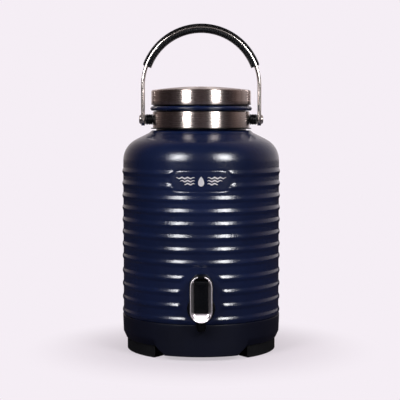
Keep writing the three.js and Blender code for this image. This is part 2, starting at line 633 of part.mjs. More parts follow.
const plugTop = plateLow - GAP;
const plugInner = PLUG_R - PLUG_WALL;
const plugFloor = PLUG_LOW + PLUG_WALL;
const plug = turned([[0, PLUG_LOW], [PLUG_R - 2, PLUG_LOW], [PLUG_R, PLUG_LOW + 2], [PLUG_R, plugTop],
  [plugInner, plugTop], [plugInner, plugFloor], [0, plugFloor]]);
place('lid_plug', plug, blackPlastic);
const foamR = plugInner - GAP;
const foamLow = plugFloor + GAP;
place('lid_insulation', turned([[0, foamLow], [foamR, foamLow], [foamR, plugTop], [0, plugTop]]), foam);
place('lid_gasket', plainRing(PLUG_R + GAP, NECK_R - 0.4, gasketLow, gasketLow + GASKET_H), siliconeSeal);

// ---------------------------------------------------------------- tap

const stemAt = [0, -NOZZLE_REACH];
const leverAxis = [-LEVER_PIVOT_Y, LEVER_PIVOT_Z];
const pinHalf = LEVER_W / 2 + 1.8;
const hoodHalf = 3.6;
const hoodLow = TAP_HIGH - 3.0;

place('tap_gasket', bar('y', GASKET_R, -(BODY_R + GAP + SEAL_T), -(BODY_R + GAP), [0, VALVE_Z], 24)
  .subtract(bar('y', tubeInner, -BODY_R - 6, -BODY_R + 6, [0, VALVE_Z])), siliconeSeal);

function tapBody() {
  const back = BODY_R + SEAL_T + 2 * GAP;
  const housingTop = TAP_HIGH + HOUSING_MARGIN;
  const outline = stadium(TAP_W + 2 * HOUSING_MARGIN, TAP_LOW - HOUSING_MARGIN, housingTop);
  const housing = frontPrism(outline, HOUSING_BACK, HOUSING_FRONT);
  const boss = bar('y', VALVE_BOSS_R, -(HOUSING_FRONT - 3.5), -back, [0, VALVE_Z], 24);
  const [hoodFront, hoodBack] = [-(TAP_REACH - 0.4), -(HOUSING_FRONT - 1)];
  const hood = block([-hoodHalf, hoodFront, hoodLow], [hoodHalf, hoodBack, housingTop - 0.2]);
  const nozzleTop = VALVE_Z - GASKET_R - GAP;
  const nozzle = bar('z', NOZZLE_R, NOZZLE_LOW + 2, nozzleTop, stemAt, 20)
    .add(bar('z', NOZZLE_R - 0.8, NOZZLE_LOW, NOZZLE_LOW + 3, stemAt, 20));
  const bore = bar('z', NOZZLE_BORE, NOZZLE_LOW - 1, SEAT_Z + 1, stemAt)
    .add(bar('z', STEM_BORE, SEAT_Z, STEM_TOP + VALVE_LIFT + 2, stemAt))
    .add(bar('y', SHANK_BORE, -NOZZLE_REACH, -back + 1, [0, VALVE_Z]));
  return housing.add(boss).add(hood).add(nozzle).subtract(bore);
}

function tapShank() {
  const outer = BODY_R - GAP;
  const end = BODY_R - SHANK_LENGTH;
  const shank = bar('y', SHANK_R, -outer, -end, [0, VALVE_Z], 20);
  return shank.subtract(bar('y', SHANK_BORE, -outer - 1, -end + 1, [0, VALVE_Z]));
}

function tapFrame() {
  const outer = frontPrism(stadium(TAP_W, TAP_LOW, TAP_HIGH), FRAME_BACK, TAP_REACH);
  const slotHalf = LEVER_W / 2 + GAP;
  const wide = stadium(TAP_W - 2 * TAP_RIM, TAP_LOW + TAP_RIM, TAP_HIGH - TAP_RIM);
  const narrow = stadium(2 * slotHalf + 0.6, LEVER_LOW - 5, TAP_HIGH - 4);
  const dish = frontLoft(narrow, FRAME_BACK + 1, wide, TAP_REACH + 0.02);
  const [before, behind] = [-TAP_REACH - 1, -FRAME_BACK + 1];
  const slot = block([-slotHalf, before, LEVER_LOW - GAP - 0.2], [slotHalf, behind, LEVER_PIVOT_Z + 4.2]);
  const notch = block([-hoodHalf - GAP, before, hoodLow - GAP], [hoodHalf + GAP, behind, TAP_HIGH + 1]);
  const pin = bar('x', LEVER_PIN_R + GAP, -pinHalf - GAP, pinHalf + GAP, leverAxis, 12);
  return outer.subtract(dish).subtract(slot).subtract(notch).subtract(pin);
}

function tapLever() {
  const back = LEVER_PIVOT_Y - KNUCKLE_R + GAP;
  const half = LEVER_W / 2;
  const plate = block([-half, -(back + LEVER_T), LEVER_LOW], [half, -back, LEVER_PIVOT_Z - 1]);
  const knuckle = bar('x', KNUCKLE_R, -half, half, leverAxis);
  return plate.add(knuckle).subtract(bar('x', LEVER_PIN_R + GAP, -half - 1, half + 1, leverAxis, 12));
}

place('tap_body', tapBody(), blackPlastic);
place('tap_shank', tapShank(), blackPlastic);
place('tap_frame', tapFrame(), polishedSteel);
place('lever_pin', bar('x', LEVER_PIN_R, -pinHalf, pinHalf, leverAxis, 12), polishedSteel);
place('tap_lever', tapLever(), blackPlastic);

const wallInside = Math.sqrt((VESSEL_R - VESSEL_WALL) ** 2 - NUT_R ** 2) - 2 * GAP - 0.5;
const washer = bar('y', NUT_R, -wallInside, -(wallInside - NUT_WASHER_T), [0, VALVE_Z], 24);
const washerHole = bar('y', tubeInner, -wallInside - 1, -wallInside + 5, [0, VALVE_Z], 20);
place('tap_inner_washer', washer.subtract(washerHole), siliconeSeal);
const nutNear = wallInside - NUT_WASHER_T - GAP;
const nut = bar('y', NUT_R, -nutNear, -(nutNear - NUT_T), [0, VALVE_Z], 6);
const nutHole = bar('y', tubeInner, -nutNear - 1, -nutNear + NUT_T + 1, [0, VALVE_Z], 20);
place('tap_nut', nut.subtract(nutHole), polishedSteel);

// valve inside the tap body
const sealR = STEM_BORE - GAP;
const sealLow = SEAT_Z + GAP;
const sealH = 2.6;
const stemLow = sealLow + sealH + GAP;
place('valve_seal', bar('z', sealR, sealLow, sealLow + sealH, stemAt), siliconeSeal);
const stemFootH = 1.2;
const stem = bar('z', STEM_R, stemLow, STEM_TOP, stemAt, 12)
  .add(bar('z', sealR, stemLow, stemLow + stemFootH, stemAt));
place('valve_stem', stem, polishedSteel);

/** Round-wire spring with flat turns, as one swept tube. */
function spring(radius, wire, low, high, turns) {
  const path = new THREE.Curve();
  path.getPoint = (t) => {
    const angle = t * turns * 2 * Math.PI;
    const height = low + wire + t * (high - low - 2 * wire);
    return new THREE.Vector3(radius * Math.cos(angle), stemAt[1] + radius * Math.sin(angle), height);
  };
  const section = new THREE.Shape();
  section.absarc(0, 0, wire, 0, 2 * Math.PI, false);
  const settings = { steps: turns * 9, curveSegments: 2, bevelEnabled: false, extrudePath: path };
  return solid(new THREE.ExtrudeGeometry(section, settings));
}

const springLow = stemLow + stemFootH + GAP;
place('valve_spring', spring(2.15, 0.4, springLow, STEM_TOP + VALVE_LIFT + 2 - GAP, 6), polishedSteel);

export default jug;
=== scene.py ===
"""Looks of a one gallon insulated drinks jug with a screw lid, a bail handle and a push-lever tap.

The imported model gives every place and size. Fine surfaces stand for its faceted nodes, in the same
frame, in metres, with +Z up, the tap towards -Y and the body's own axis at a fixed distance behind
the origin.
"""

from __future__ import annotations

import logging
import math
from collections.abc import Callable, Sequence
from dataclasses import dataclass
from enum import Enum
from functools import partial

import bpy
import numpy as np
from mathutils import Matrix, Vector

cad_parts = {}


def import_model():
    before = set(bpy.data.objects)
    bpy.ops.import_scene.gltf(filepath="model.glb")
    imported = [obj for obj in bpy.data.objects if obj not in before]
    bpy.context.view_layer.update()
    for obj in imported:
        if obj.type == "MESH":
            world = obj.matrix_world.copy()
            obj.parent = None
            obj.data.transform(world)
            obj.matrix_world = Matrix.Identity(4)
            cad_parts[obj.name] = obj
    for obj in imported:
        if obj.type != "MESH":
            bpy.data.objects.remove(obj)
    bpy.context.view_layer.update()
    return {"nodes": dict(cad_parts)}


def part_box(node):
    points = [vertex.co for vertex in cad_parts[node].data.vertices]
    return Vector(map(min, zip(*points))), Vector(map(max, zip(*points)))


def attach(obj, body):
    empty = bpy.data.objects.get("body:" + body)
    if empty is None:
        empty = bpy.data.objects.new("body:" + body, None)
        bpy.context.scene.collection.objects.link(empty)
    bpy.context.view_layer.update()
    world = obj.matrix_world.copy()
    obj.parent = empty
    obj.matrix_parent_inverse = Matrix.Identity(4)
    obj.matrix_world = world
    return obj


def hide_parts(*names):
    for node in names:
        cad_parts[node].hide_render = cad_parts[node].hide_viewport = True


LOG = logging.getLogger("drinks_jug")
MM = 0.001
TAU = 2 * math.pi
QUARTER = math.pi / 2
CREASE_DEG = 32.0  # an edge sharper than this stays sharp
CORNER_SHARE = 0.45  # the most of a side that one round may take
SAME_POINT = 1e-5

# Sizes that more than one group of pieces uses, in millimetres.
NECK_R = 49.0
PIVOT_Z = 249.9
STEEL_WALL = 0.8
GAP = 0.3

Corner = tuple[float, ...]
Piece = bpy.types.Object
Socket = bpy.types.NodeSocket


# ---- arrays and meshes


def smoothstep(low: float, high: float, value: np.ndarray) -> np.ndarray:
    """Cubic ramp from 0 at low to 1 at high."""
    t = np.clip((value - low) / (high - low), 0.0, 1.0)
    return t * t * (3.0 - 2.0 * t)


def bearings(sides: int) -> np.ndarray:
    """Angles of equal steps round a full turn, from zero."""
    return np.arange(sides) / sides * TAU


def stadium_distance(x: np.ndarray, z: np.ndarray, width: float, height: float) -> np.ndarray:
    """Signed distance from a stadium centred on zero, negative inside.

    Args:
        x: Sideways places.
        z: Upward places.
        width: Overall width.
        height: Overall height.

    Returns:
        Distance to a segment along the longer side, less the end radius.
    """
    radius = min(width, height) / 2
    dx = np.maximum(np.abs(x) - (width / 2 - radius), 0.0)
    dz = np.maximum(np.abs(z) - (height / 2 - radius), 0.0)
    return np.hypot(dx, dz) - radius


def fillet(corners: Sequence[Corner], default: float = 0.4, steps: int = 4) -> np.ndarray:
    """Outline with each corner replaced by a round.

    Each corner is two numbers, or three with its own radius. The round is a quadratic arc between
    the points at that distance from the corner along both sides, so it touches both sides. An
    outline whose first or last corner is on the axis is open, and any other is closed.

    Args:
        corners: Corners in order, in millimetres.
        default: Radius where a corner gives none.
        steps: Flats in each round.

    Returns:
        Points of the outline, one row each.
    """
    spots = np.array([c[:2] for c in corners], float)
    radii = np.array([c[2] if len(c) > 2 else default for c in corners])
    before, after = np.roll(spots, 1, 0) - spots, np.roll(spots, -1, 0) - spots
    length_a, length_b = np.linalg.norm(before, axis=1), np.linalg.norm(after, axis=1)
    reach = np.minimum(radii, np.minimum(length_a, length_b) * CORNER_SHARE)
    if 0 in spots[[0, -1], 0]:
        reach[[0, -1]] = 0.0
    start = spots + before / length_a[:, None] * reach[:, None]
    end = spots + after / length_b[:, None] * reach[:, None]
    t = np.linspace(0, 1, steps + 1)[None, :, None]
    arcs = (1 - t) ** 2 * start[:, None] + 2 * t * (1 - t) * spots[:, None] + t**2 * end[:, None]
    line = arcs.reshape(-1, 2)
    return line[np.linalg.norm(line - np.roll(line, 1, 0), axis=1) > SAME_POINT]


def block(
    near: float, far: float, low: float, high: float, rounds: tuple[float, ...], steps: int = 4
) -> np.ndarray:
    """Closed outline of a rectangle, with one round for each corner, in order."""
    corners = ((near, low), (far, low), (far, high), (near, high))
    return fillet([(*corner, r) for corner, r in zip(corners, rounds)], steps=steps)


def refine(line: np.ndarray, step: float) -> np.ndarray:
    """The same open outline with extra points, so that no side is longer than a step."""
    sides = np.linalg.norm(np.diff(line, axis=0), axis=1)
    counts = np.maximum(1, np.ceil(sides / step).astype(int))
    rows = zip(line[:-1], line[1:], counts)
    parts = [a + (b - a) * np.arange(n)[:, None] / n for a, b, n in rows]
    return np.vstack([*parts, line[-1:]])


def respace(line: np.ndarray, count: int) -> np.ndarray:
    """The same open outline with an equal number of points spread along its length."""
    along = np.append(0, np.cumsum(np.linalg.norm(np.diff(line, axis=0), axis=1)))
    at = np.linspace(0, along[-1], count)
    return np.column_stack([np.interp(at, along, line[:, k]) for k in (0, 1)])


def grid_faces(rows: int, columns: int, wrap_rows: bool, wrap_columns: bool) -> np.ndarray:
    """Corner numbers of the quads of a grid, wrapped round in one or both directions."""
    i = np.arange(rows if wrap_rows else rows - 1)[:, None]
    j = np.arange(columns if wrap_columns else columns - 1)[None, :]
    near, far = i * columns, (i + 1) % rows * columns
    next_j = (j + 1) % columns
    corners = [near + j, near + next_j, far + next_j, far + j]
    return np.stack(corners, -1).reshape(-1, 4)


def make_mesh(name: str, points: np.ndarray, faces: list, crease: float = CREASE_DEG) -> Piece:
    """Object at the origin from points in millimetres, smooth apart from sharp creases.

    Args:
        name: The piece's name.
        points: One row for each vertex.
        faces: Corner numbers of each face.
        crease: Angle in degrees above which an edge stays sharp.

    Returns:
        The new object, with its faces pointing outwards.
    """
    mesh = bpy.data.meshes.new(name)
    mesh.from_pydata((points * MM).tolist(), [], [list(map(int, face)) for face in faces])
    mesh.validate()
    mesh.calc_loop_triangles()
    triangles = np.empty(len(mesh.loop_triangles) * 3, np.int32)
    mesh.loop_triangles.foreach_get("vertices", triangles)
    spots = np.empty(len(mesh.vertices) * 3, np.float32)
    mesh.vertices.foreach_get("co", spots)
    a, b, c = np.moveaxis(spots.reshape(-1, 3).astype(float)[triangles.reshape(-1, 3)], 1, 0)
    if np.einsum("ij,ij->i", a, np.cross(b, c)).sum() < 0:
        mesh.flip_normals()
    mesh.polygons.foreach_set("use_smooth", np.ones(len(mesh.polygons), bool))
    mesh.set_sharp_from_angle(angle=math.radians(crease))
    mesh.update()
    piece = bpy.data.objects.new(name, mesh)
    bpy.context.scene.collection.objects.link(piece)
    return piece


@dataclass(frozen=True)
class Axis:
    """A straight line in millimetres, with the way that zero angle points."""

    origin: tuple[float, float, float]
    along: tuple[float, float, float]
    zero: tuple[float, float, float]

    def place(self, radius: np.ndarray, height: np.ndarray, angle: np.ndarray) -> np.ndarray:
        """Points at a radius, a height along the line and an angle about it, right-handed."""
        radius, height, angle = np.broadcast_arrays(radius, height, angle)
        along, zero = np.array(self.along), np.array(self.zero)
        third = np.cross(along, zero)
        radial = np.cos(angle)[..., None] * zero + np.sin(angle)[..., None] * third
        return np.array(self.origin) + radius[..., None] * radial + height[..., None] * along


def lathe(line: np.ndarray, sides: int) -> tuple[np.ndarray, np.ndarray, np.ndarray]:
    """Radius, height and angle of every point of an outline that makes a full turn."""
    turn, radius = np.meshgrid(bearings(sides), line[:, 0])
    return radius, np.broadcast_to(line[:, 1:], radius.shape), turn


def sweep(name: str, rings: np.ndarray, crease: float = CREASE_DEG, wrap: bool = False) -> Piece:
    """Closed skin over a row of equal rings, capped at both ends unless the row wraps round."""
    count, sides = rings.shape[:2]
    faces = list(grid_faces(count, sides, wrap, True))
    if not wrap:
        faces += [range(sides)[::-1], range((count - 1) * sides, count * sides)]
    return make_mesh(name, rings.reshape(-1, 3), faces, crease)


def revolve(
    name: str, axis: Axis, line: np.ndarray, sides: int, crease: float = CREASE_DEG
) -> Piece:
    """Surface of revolution of an outline of (radius, height) rows about an axis.

    An outline that starts and ends on the axis is open, and each end becomes one pole vertex.

    Args:
        name: The piece's name.
        axis: The line that it turns about.
        line: The outline, in millimetres.
        sides: Steps in a full turn.
        crease: Angle of sharp edges, in degrees.

    Returns:
        The new object.
    """
    if line[0, 0] > 0:
        return sweep(name, axis.place(*lathe(line, sides)), crease, True)
    rings = axis.place(*lathe(line[1:-1], sides))
    points = rings.reshape(-1, 3)
    poles = axis.place(0.0, line[[0, -1], 1], 0.0)
    first, last, top = len(points), len(points) + 1, len(points) - sides
    faces = list(grid_faces(len(rings), sides, False, True))
    faces += [(first, (k + 1) % sides, k) for k in range(sides)]
    faces += [(last, top + k, top + (k + 1) % sides) for k in range(sides)]
    return make_mesh(name, np.vstack([points, poles]), faces, crease)


# ---- finishes


def linear(hex_colour: str) -> tuple[float, float, float, float]:
    """Linear colour with full alpha from an sRGB hex value such as "1a2644"."""
    channels = [int(hex_colour[i : i + 2], 16) / 255 for i in (0, 2, 4)]
    values = [c / 12.92 if c <= 0.04045 else ((c + 0.055) / 1.055) ** 2.4 for c in channels]
    return values[0], values[1], values[2], 1.0


def add_node(
    tree: bpy.types.NodeTree, kind: str, settings: dict | None = None, links: dict | None = None
) -> bpy.types.NodeOutputs:
    """Adds a node.

    Args:
        tree: The node tree.
        kind: The node's type name, without "ShaderNode".
        settings: Attributes by name, or input values by input name or number.
        links: Output sockets by input name or number.

    Returns:
        The new node's outputs.
    """
    node = tree.nodes.new("ShaderNode" + kind)
    for key, value in (settings or {}).items():
        if isinstance(key, str) and hasattr(node, key):
            setattr(node, key, value)
        else:
            node.inputs[key].default_value = value
    for key, socket in (links or {}).items():
        tree.links.new(socket, node.inputs[key])
    return node.outputs


def adder(owner: bpy.types.Material | bpy.types.World) -> Callable:
    """Empties the node tree of a material or world, and gives add_node for it."""
    owner.use_nodes = True
    owner.node_tree.nodes.clear()
    return partial(add_node, owner.node_tree)


class Lay(Enum):
    """Which way the fine marks of a finish run."""

    NONE = "none"
    ROUND_Z = "rings about the upright axis"
    ALONG_Z = "lines along z"


@dataclass(frozen=True)
class Finish:
    """A real material: colours, gloss and the relief of its surface.

    The relief is noise whose grain is a real size in millimetres. Under a lay it is stretched along
    the marks. A second, wide noise, squeezed along z by the streak, shifts the colour a little.
    """

    name: str
    colour: str
    second: str
    metallic: float = 0.0
    roughness: float = 0.4
    rough_spread: float = 0.06
    ior: float = 1.5
    specular: float = 0.5
    anisotropic: float = 0.0
    anisotropic_turn: float = 0.0
    lay: Lay = Lay.NONE
    grain_mm: float = 0.8
    relief_mm: float = 0.01
    patch_mm: float = 25.0
    stretch: float = 60.0
    streak: float = 1.0
    wear: str = ""
    wear_share: float = 0.0
    least_rough: float = 0.03
    wear_scale: float = 420.0

    def build(self, axis_y: float) -> bpy.types.Material:
        """Makes the material; axis_y is the place of the body's axis in metres."""
        material = bpy.data.materials.new(self.name)
        material.diffuse_color = linear(self.colour)
        add = adder(material)
        spot = add("TexCoord")["Object"]
        centred = add("Mapping", {"Location": (0.0, -axis_y, 0.0)}, {"Vector": spot})["Vector"]
        fine = {"Scale": 1.0, "Detail": 3.0, "Roughness": 0.6}
        grain = add("TexNoise", fine, {"Vector": self._marks(add, centred)})["Fac"]
        base = self._colour(add, centred)
        low, high = self.roughness - self.rough_spread, self.roughness + self.rough_spread
        gloss = {
            "From Min": 0.25, "From Max": 0.75,
            "To Min": max(low, self.least_rough), "To Max": high,
        }
        rough = add("MapRange", gloss, {"Value": grain})["Result"]
        relief = {"Strength": 1.0, "Distance": self.relief_mm * MM}
        bump = add("Bump", relief, {"Height": grain})["Normal"]
        constants = {
            "Metallic": self.metallic, "IOR": self.ior, "Specular IOR Level": self.specular,
            "Anisotropic": self.anisotropic, "Anisotropic Rotation": self.anisotropic_turn,
        }
        links = {"Base Color": base, "Roughness": rough, "Normal": bump}
        if self.anisotropic and self.lay is Lay.ROUND_Z:
            links["Tangent"] = add("Tangent", {"direction_type": "RADIAL", "axis": "Z"})["Tangent"]
        shader = add("BsdfPrincipled", constants, links)["BSDF"]
        add("OutputMaterial", None, {"Surface": shader})
        return material

    def _marks(self, add: Callable, centred: Socket) -> Socket:
        """Coordinates in which one unit is one grain across the marks and a long way along them."""
        across = 1000.0 / self.grain_mm
        along = across / self.stretch
        scales = {
            Lay.NONE: (across, across, across),
            Lay.ALONG_Z: (across, across, along),
            Lay.ROUND_Z: (along, along, across),
        }
        vector = centred
        if self.lay is Lay.ROUND_Z:
            part = add("SeparateXYZ", None, {"Vector": centred})
            flat = {"X": part["X"], "Y": part["Y"]}
            flat_vector = add("CombineXYZ", None, flat)["Vector"]
            radius = add("VectorMath", {"operation": "LENGTH"}, {0: flat_vector})["Value"]
            level = add("Math", {"operation": "ADD"}, {0: radius, 1: part["Z"]})["Value"]
            vector = add("CombineXYZ", None, {**flat, "Z": level})["Vector"]
        return add("Mapping", {"Scale": scales[self.lay]}, {"Vector": vector})["Vector"]

    def _colour(self, add: Callable, centred: Socket) -> Socket:
        """The two colours in wide patches, with small rubbed spots of the wear colour if any."""
        squeeze = {"Scale": (1.0, 1.0, self.streak)}
        squeezed = add("Mapping", squeeze, {"Vector": centred})["Vector"]
        wide = {"Scale": 1000.0 / self.patch_mm, "Detail": 2.0}
        patch = add("TexNoise", wide, {"Vector": squeezed})["Fac"]
        blend = add("MapRange", {"From Min": 0.35, "From Max": 0.65}, {"Value": patch})["Result"]
        pair = {"data_type": "RGBA", 6: linear(self.colour), 7: linear(self.second)}
        base = add("Mix", pair, {0: blend})[2]
        if not self.wear:
            return base
        small = {"Scale": self.wear_scale, "Detail": 4.0, "Roughness": 0.7}
        spots = add("TexNoise", small, {"Vector": centred})["Fac"]
        edge = 0.74 - 0.1 * self.wear_share
        share = add("MapRange", {"From Min": edge, "From Max": edge + 0.06}, {"Value": spots})
        rubbed = {"data_type": "RGBA", 7: linear(self.wear)}
        return add("Mix", rubbed, {0: share["Result"], 6: base})[2]


# Powder coat, sprayed and baked: satin navy with a fine orange peel that breaks highlights into
# grains. The real peel is about 0.4 mm; it is drawn at 1.8 mm so that it shows.
POWDER_COAT = Finish(
    "navy_powder_coat", "142146", "111c3c", 0.0, 0.2, 0.05,
    grain_mm=1.8, relief_mm=0.16, patch_mm=60, wear="1a2850", wear_share=0.1,
)
# Polypropylene boot, moulded with a spark-eroded texture: charcoal, even and half matt.
BOOT_POLYPROPYLENE = Finish(
    "charcoal_polypropylene", "0f1222", "121526", 0.0, 0.42, 0.07, 1.49, specular=0.15,
    grain_mm=0.7, relief_mm=0.03, patch_mm=40, wear="25272f", wear_share=0.4,
)
# Feet of thermoplastic rubber: black and dull, with dust in the grain.
FOOT_RUBBER = Finish(
    "black_thermoplastic_rubber", "0c0d12", "131418", 0.0, 0.7, 0.1, specular=0.12,
    grain_mm=0.9, relief_mm=0.06, patch_mm=12, wear="2b2b2e", wear_share=0.8,
)
# ABS, moulded against a fine stipple: black with a soft gloss.
BLACK_ABS = Finish(
    "black_abs", "06070b", "090b10", 0.0, 0.28, 0.05, 1.53, specular=0.16,
    grain_mm=0.5, relief_mm=0.012, patch_mm=15,
)
# Stainless steel 304, brushed on a lathe: rings about the axis stretch each highlight upwards.
TURNED_STEEL = Finish(
    "stainless_steel_brushed_round", "cfc4bf", "b4a8a3", 1.0, 0.27, 0.02, anisotropic=0.95,
    anisotropic_turn=0.25, lay=Lay.ROUND_Z, grain_mm=0.35, relief_mm=0.002, patch_mm=7,
    stretch=90, streak=0.04,
)
# Stainless steel 304, buffed: nearly a mirror, with faint buffing lines along the strap.
BUFFED_STEEL = Finish(
    "stainless_steel_buffed", "d6cfcc", "cbc3c0", 1.0, 0.2, 0.05, lay=Lay.ALONG_Z,
    grain_mm=0.5, relief_mm=0.002, patch_mm=18, stretch=25,
)
# Stainless steel 304, bead-blasted and tumbled: pale satin, which spreads a light into a patch.
SATIN_STEEL = Finish(
    "stainless_steel_satin", "e6dfe4", "dcd5da", 1.0, 0.4, 0.05,
    grain_mm=0.6, relief_mm=0.004, patch_mm=15,
)
# Stainless steel 304, electropolished inside: bright with a soft, clouded gloss.
VESSEL_STEEL = Finish(
    "stainless_steel_electropolished", "c2c0be", "b6b4b2", 1.0, 0.3, 0.06, lay=Lay.ROUND_Z,
    grain_mm=0.5, relief_mm=0.003, patch_mm=20, stretch=40,
)
# Platinum-cured silicone: milky, waxy and dull.
SILICONE = Finish(
    "platinum_silicone", "d6d4cc", "cac8c0", 0.0, 0.55, 0.08, 1.41,
    grain_mm=0.8, relief_mm=0.01, patch_mm=10,
)
# Rigid polyurethane foam: fine cells, cream and matt.
FOAM = Finish(
    "polyurethane_foam", "e3dbc0", "d6ccae", 0.0, 0.9, 0.05,
    grain_mm=0.6, relief_mm=0.15, patch_mm=8,
)
# Pad-printed ink: silver-white, thin and satin.
SILVER_INK = Finish(
    "silver_white_ink", "e4e2e6", "d5d3d9", 0.0, 0.38, 0.05, 1.48,
    grain_mm=0.5, relief_mm=0.006, patch_mm=9,
)


@dataclass
class Palette:
    """Builds each finish once and puts it on pieces."""

    axis_y: float

    def __post_init__(self) -> None:
        """Starts with nothing built."""
        self._built: dict[str, bpy.types.Material] = {}

    def dress(self, piece: Piece, finish: Finish, slot: str = "") -> None:
        """Gives a piece its finish."""
        if finish.name not in self._built:
            self._built[finish.name] = finish.build(self.axis_y)
        if not piece.material_slots:
            piece.data.materials.append(None)
        for place in piece.material_slots:
            place.material = self._built[finish.name]


@dataclass
class Maker:
    """What every group of pieces shares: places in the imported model, in mm, and finishes."""

    axis_y: float
    palette: Palette

    def add(
        self, piece: Piece, finish: Finish, slot: str = "", *nodes: str,
        body: str = "root",
    ) -> None:
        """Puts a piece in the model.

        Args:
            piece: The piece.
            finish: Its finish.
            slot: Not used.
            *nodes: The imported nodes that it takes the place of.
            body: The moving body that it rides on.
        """
        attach(piece, body)
        if nodes:
            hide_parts(*nodes)
        self.palette.dress(piece, finish, slot)
        LOG.info("%s rides on %s: %d faces", piece.name, body, len(piece.data.polygons))

    @staticmethod
    def span(node: str) -> tuple[float, float]:
        """Lowest and highest place of a node."""
        low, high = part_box(node)
        return low[2] / MM, high[2] / MM

    @staticmethod
    def radius(node: str) -> float:
        """Farthest place of a node to the right, which is the outer radius of a round one."""
        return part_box(node)[1][0] / MM

    def upright(self, forward: float = 0.0) -> Axis:
        """Axis along +Z, forward of the body's axis; zero angle faces the front."""
        return Axis((0.0, self.axis_y - forward, 0.0), (0, 0, 1), (0, -1, 0))

    def outward(self, z: float) -> Axis:
        """Axis from the body's axis straight to the front at a height."""
        return Axis((0.0, self.axis_y, z), (0, -1, 0), (0, 0, 1))

    def sideways(self, side: int, z: float) -> Axis:
        """Axis from the body's axis to the right (1) or left (-1) at a height."""
        return Axis((0.0, self.axis_y, z), (side, 0, 0), (0, 0, 1))


# ---- body


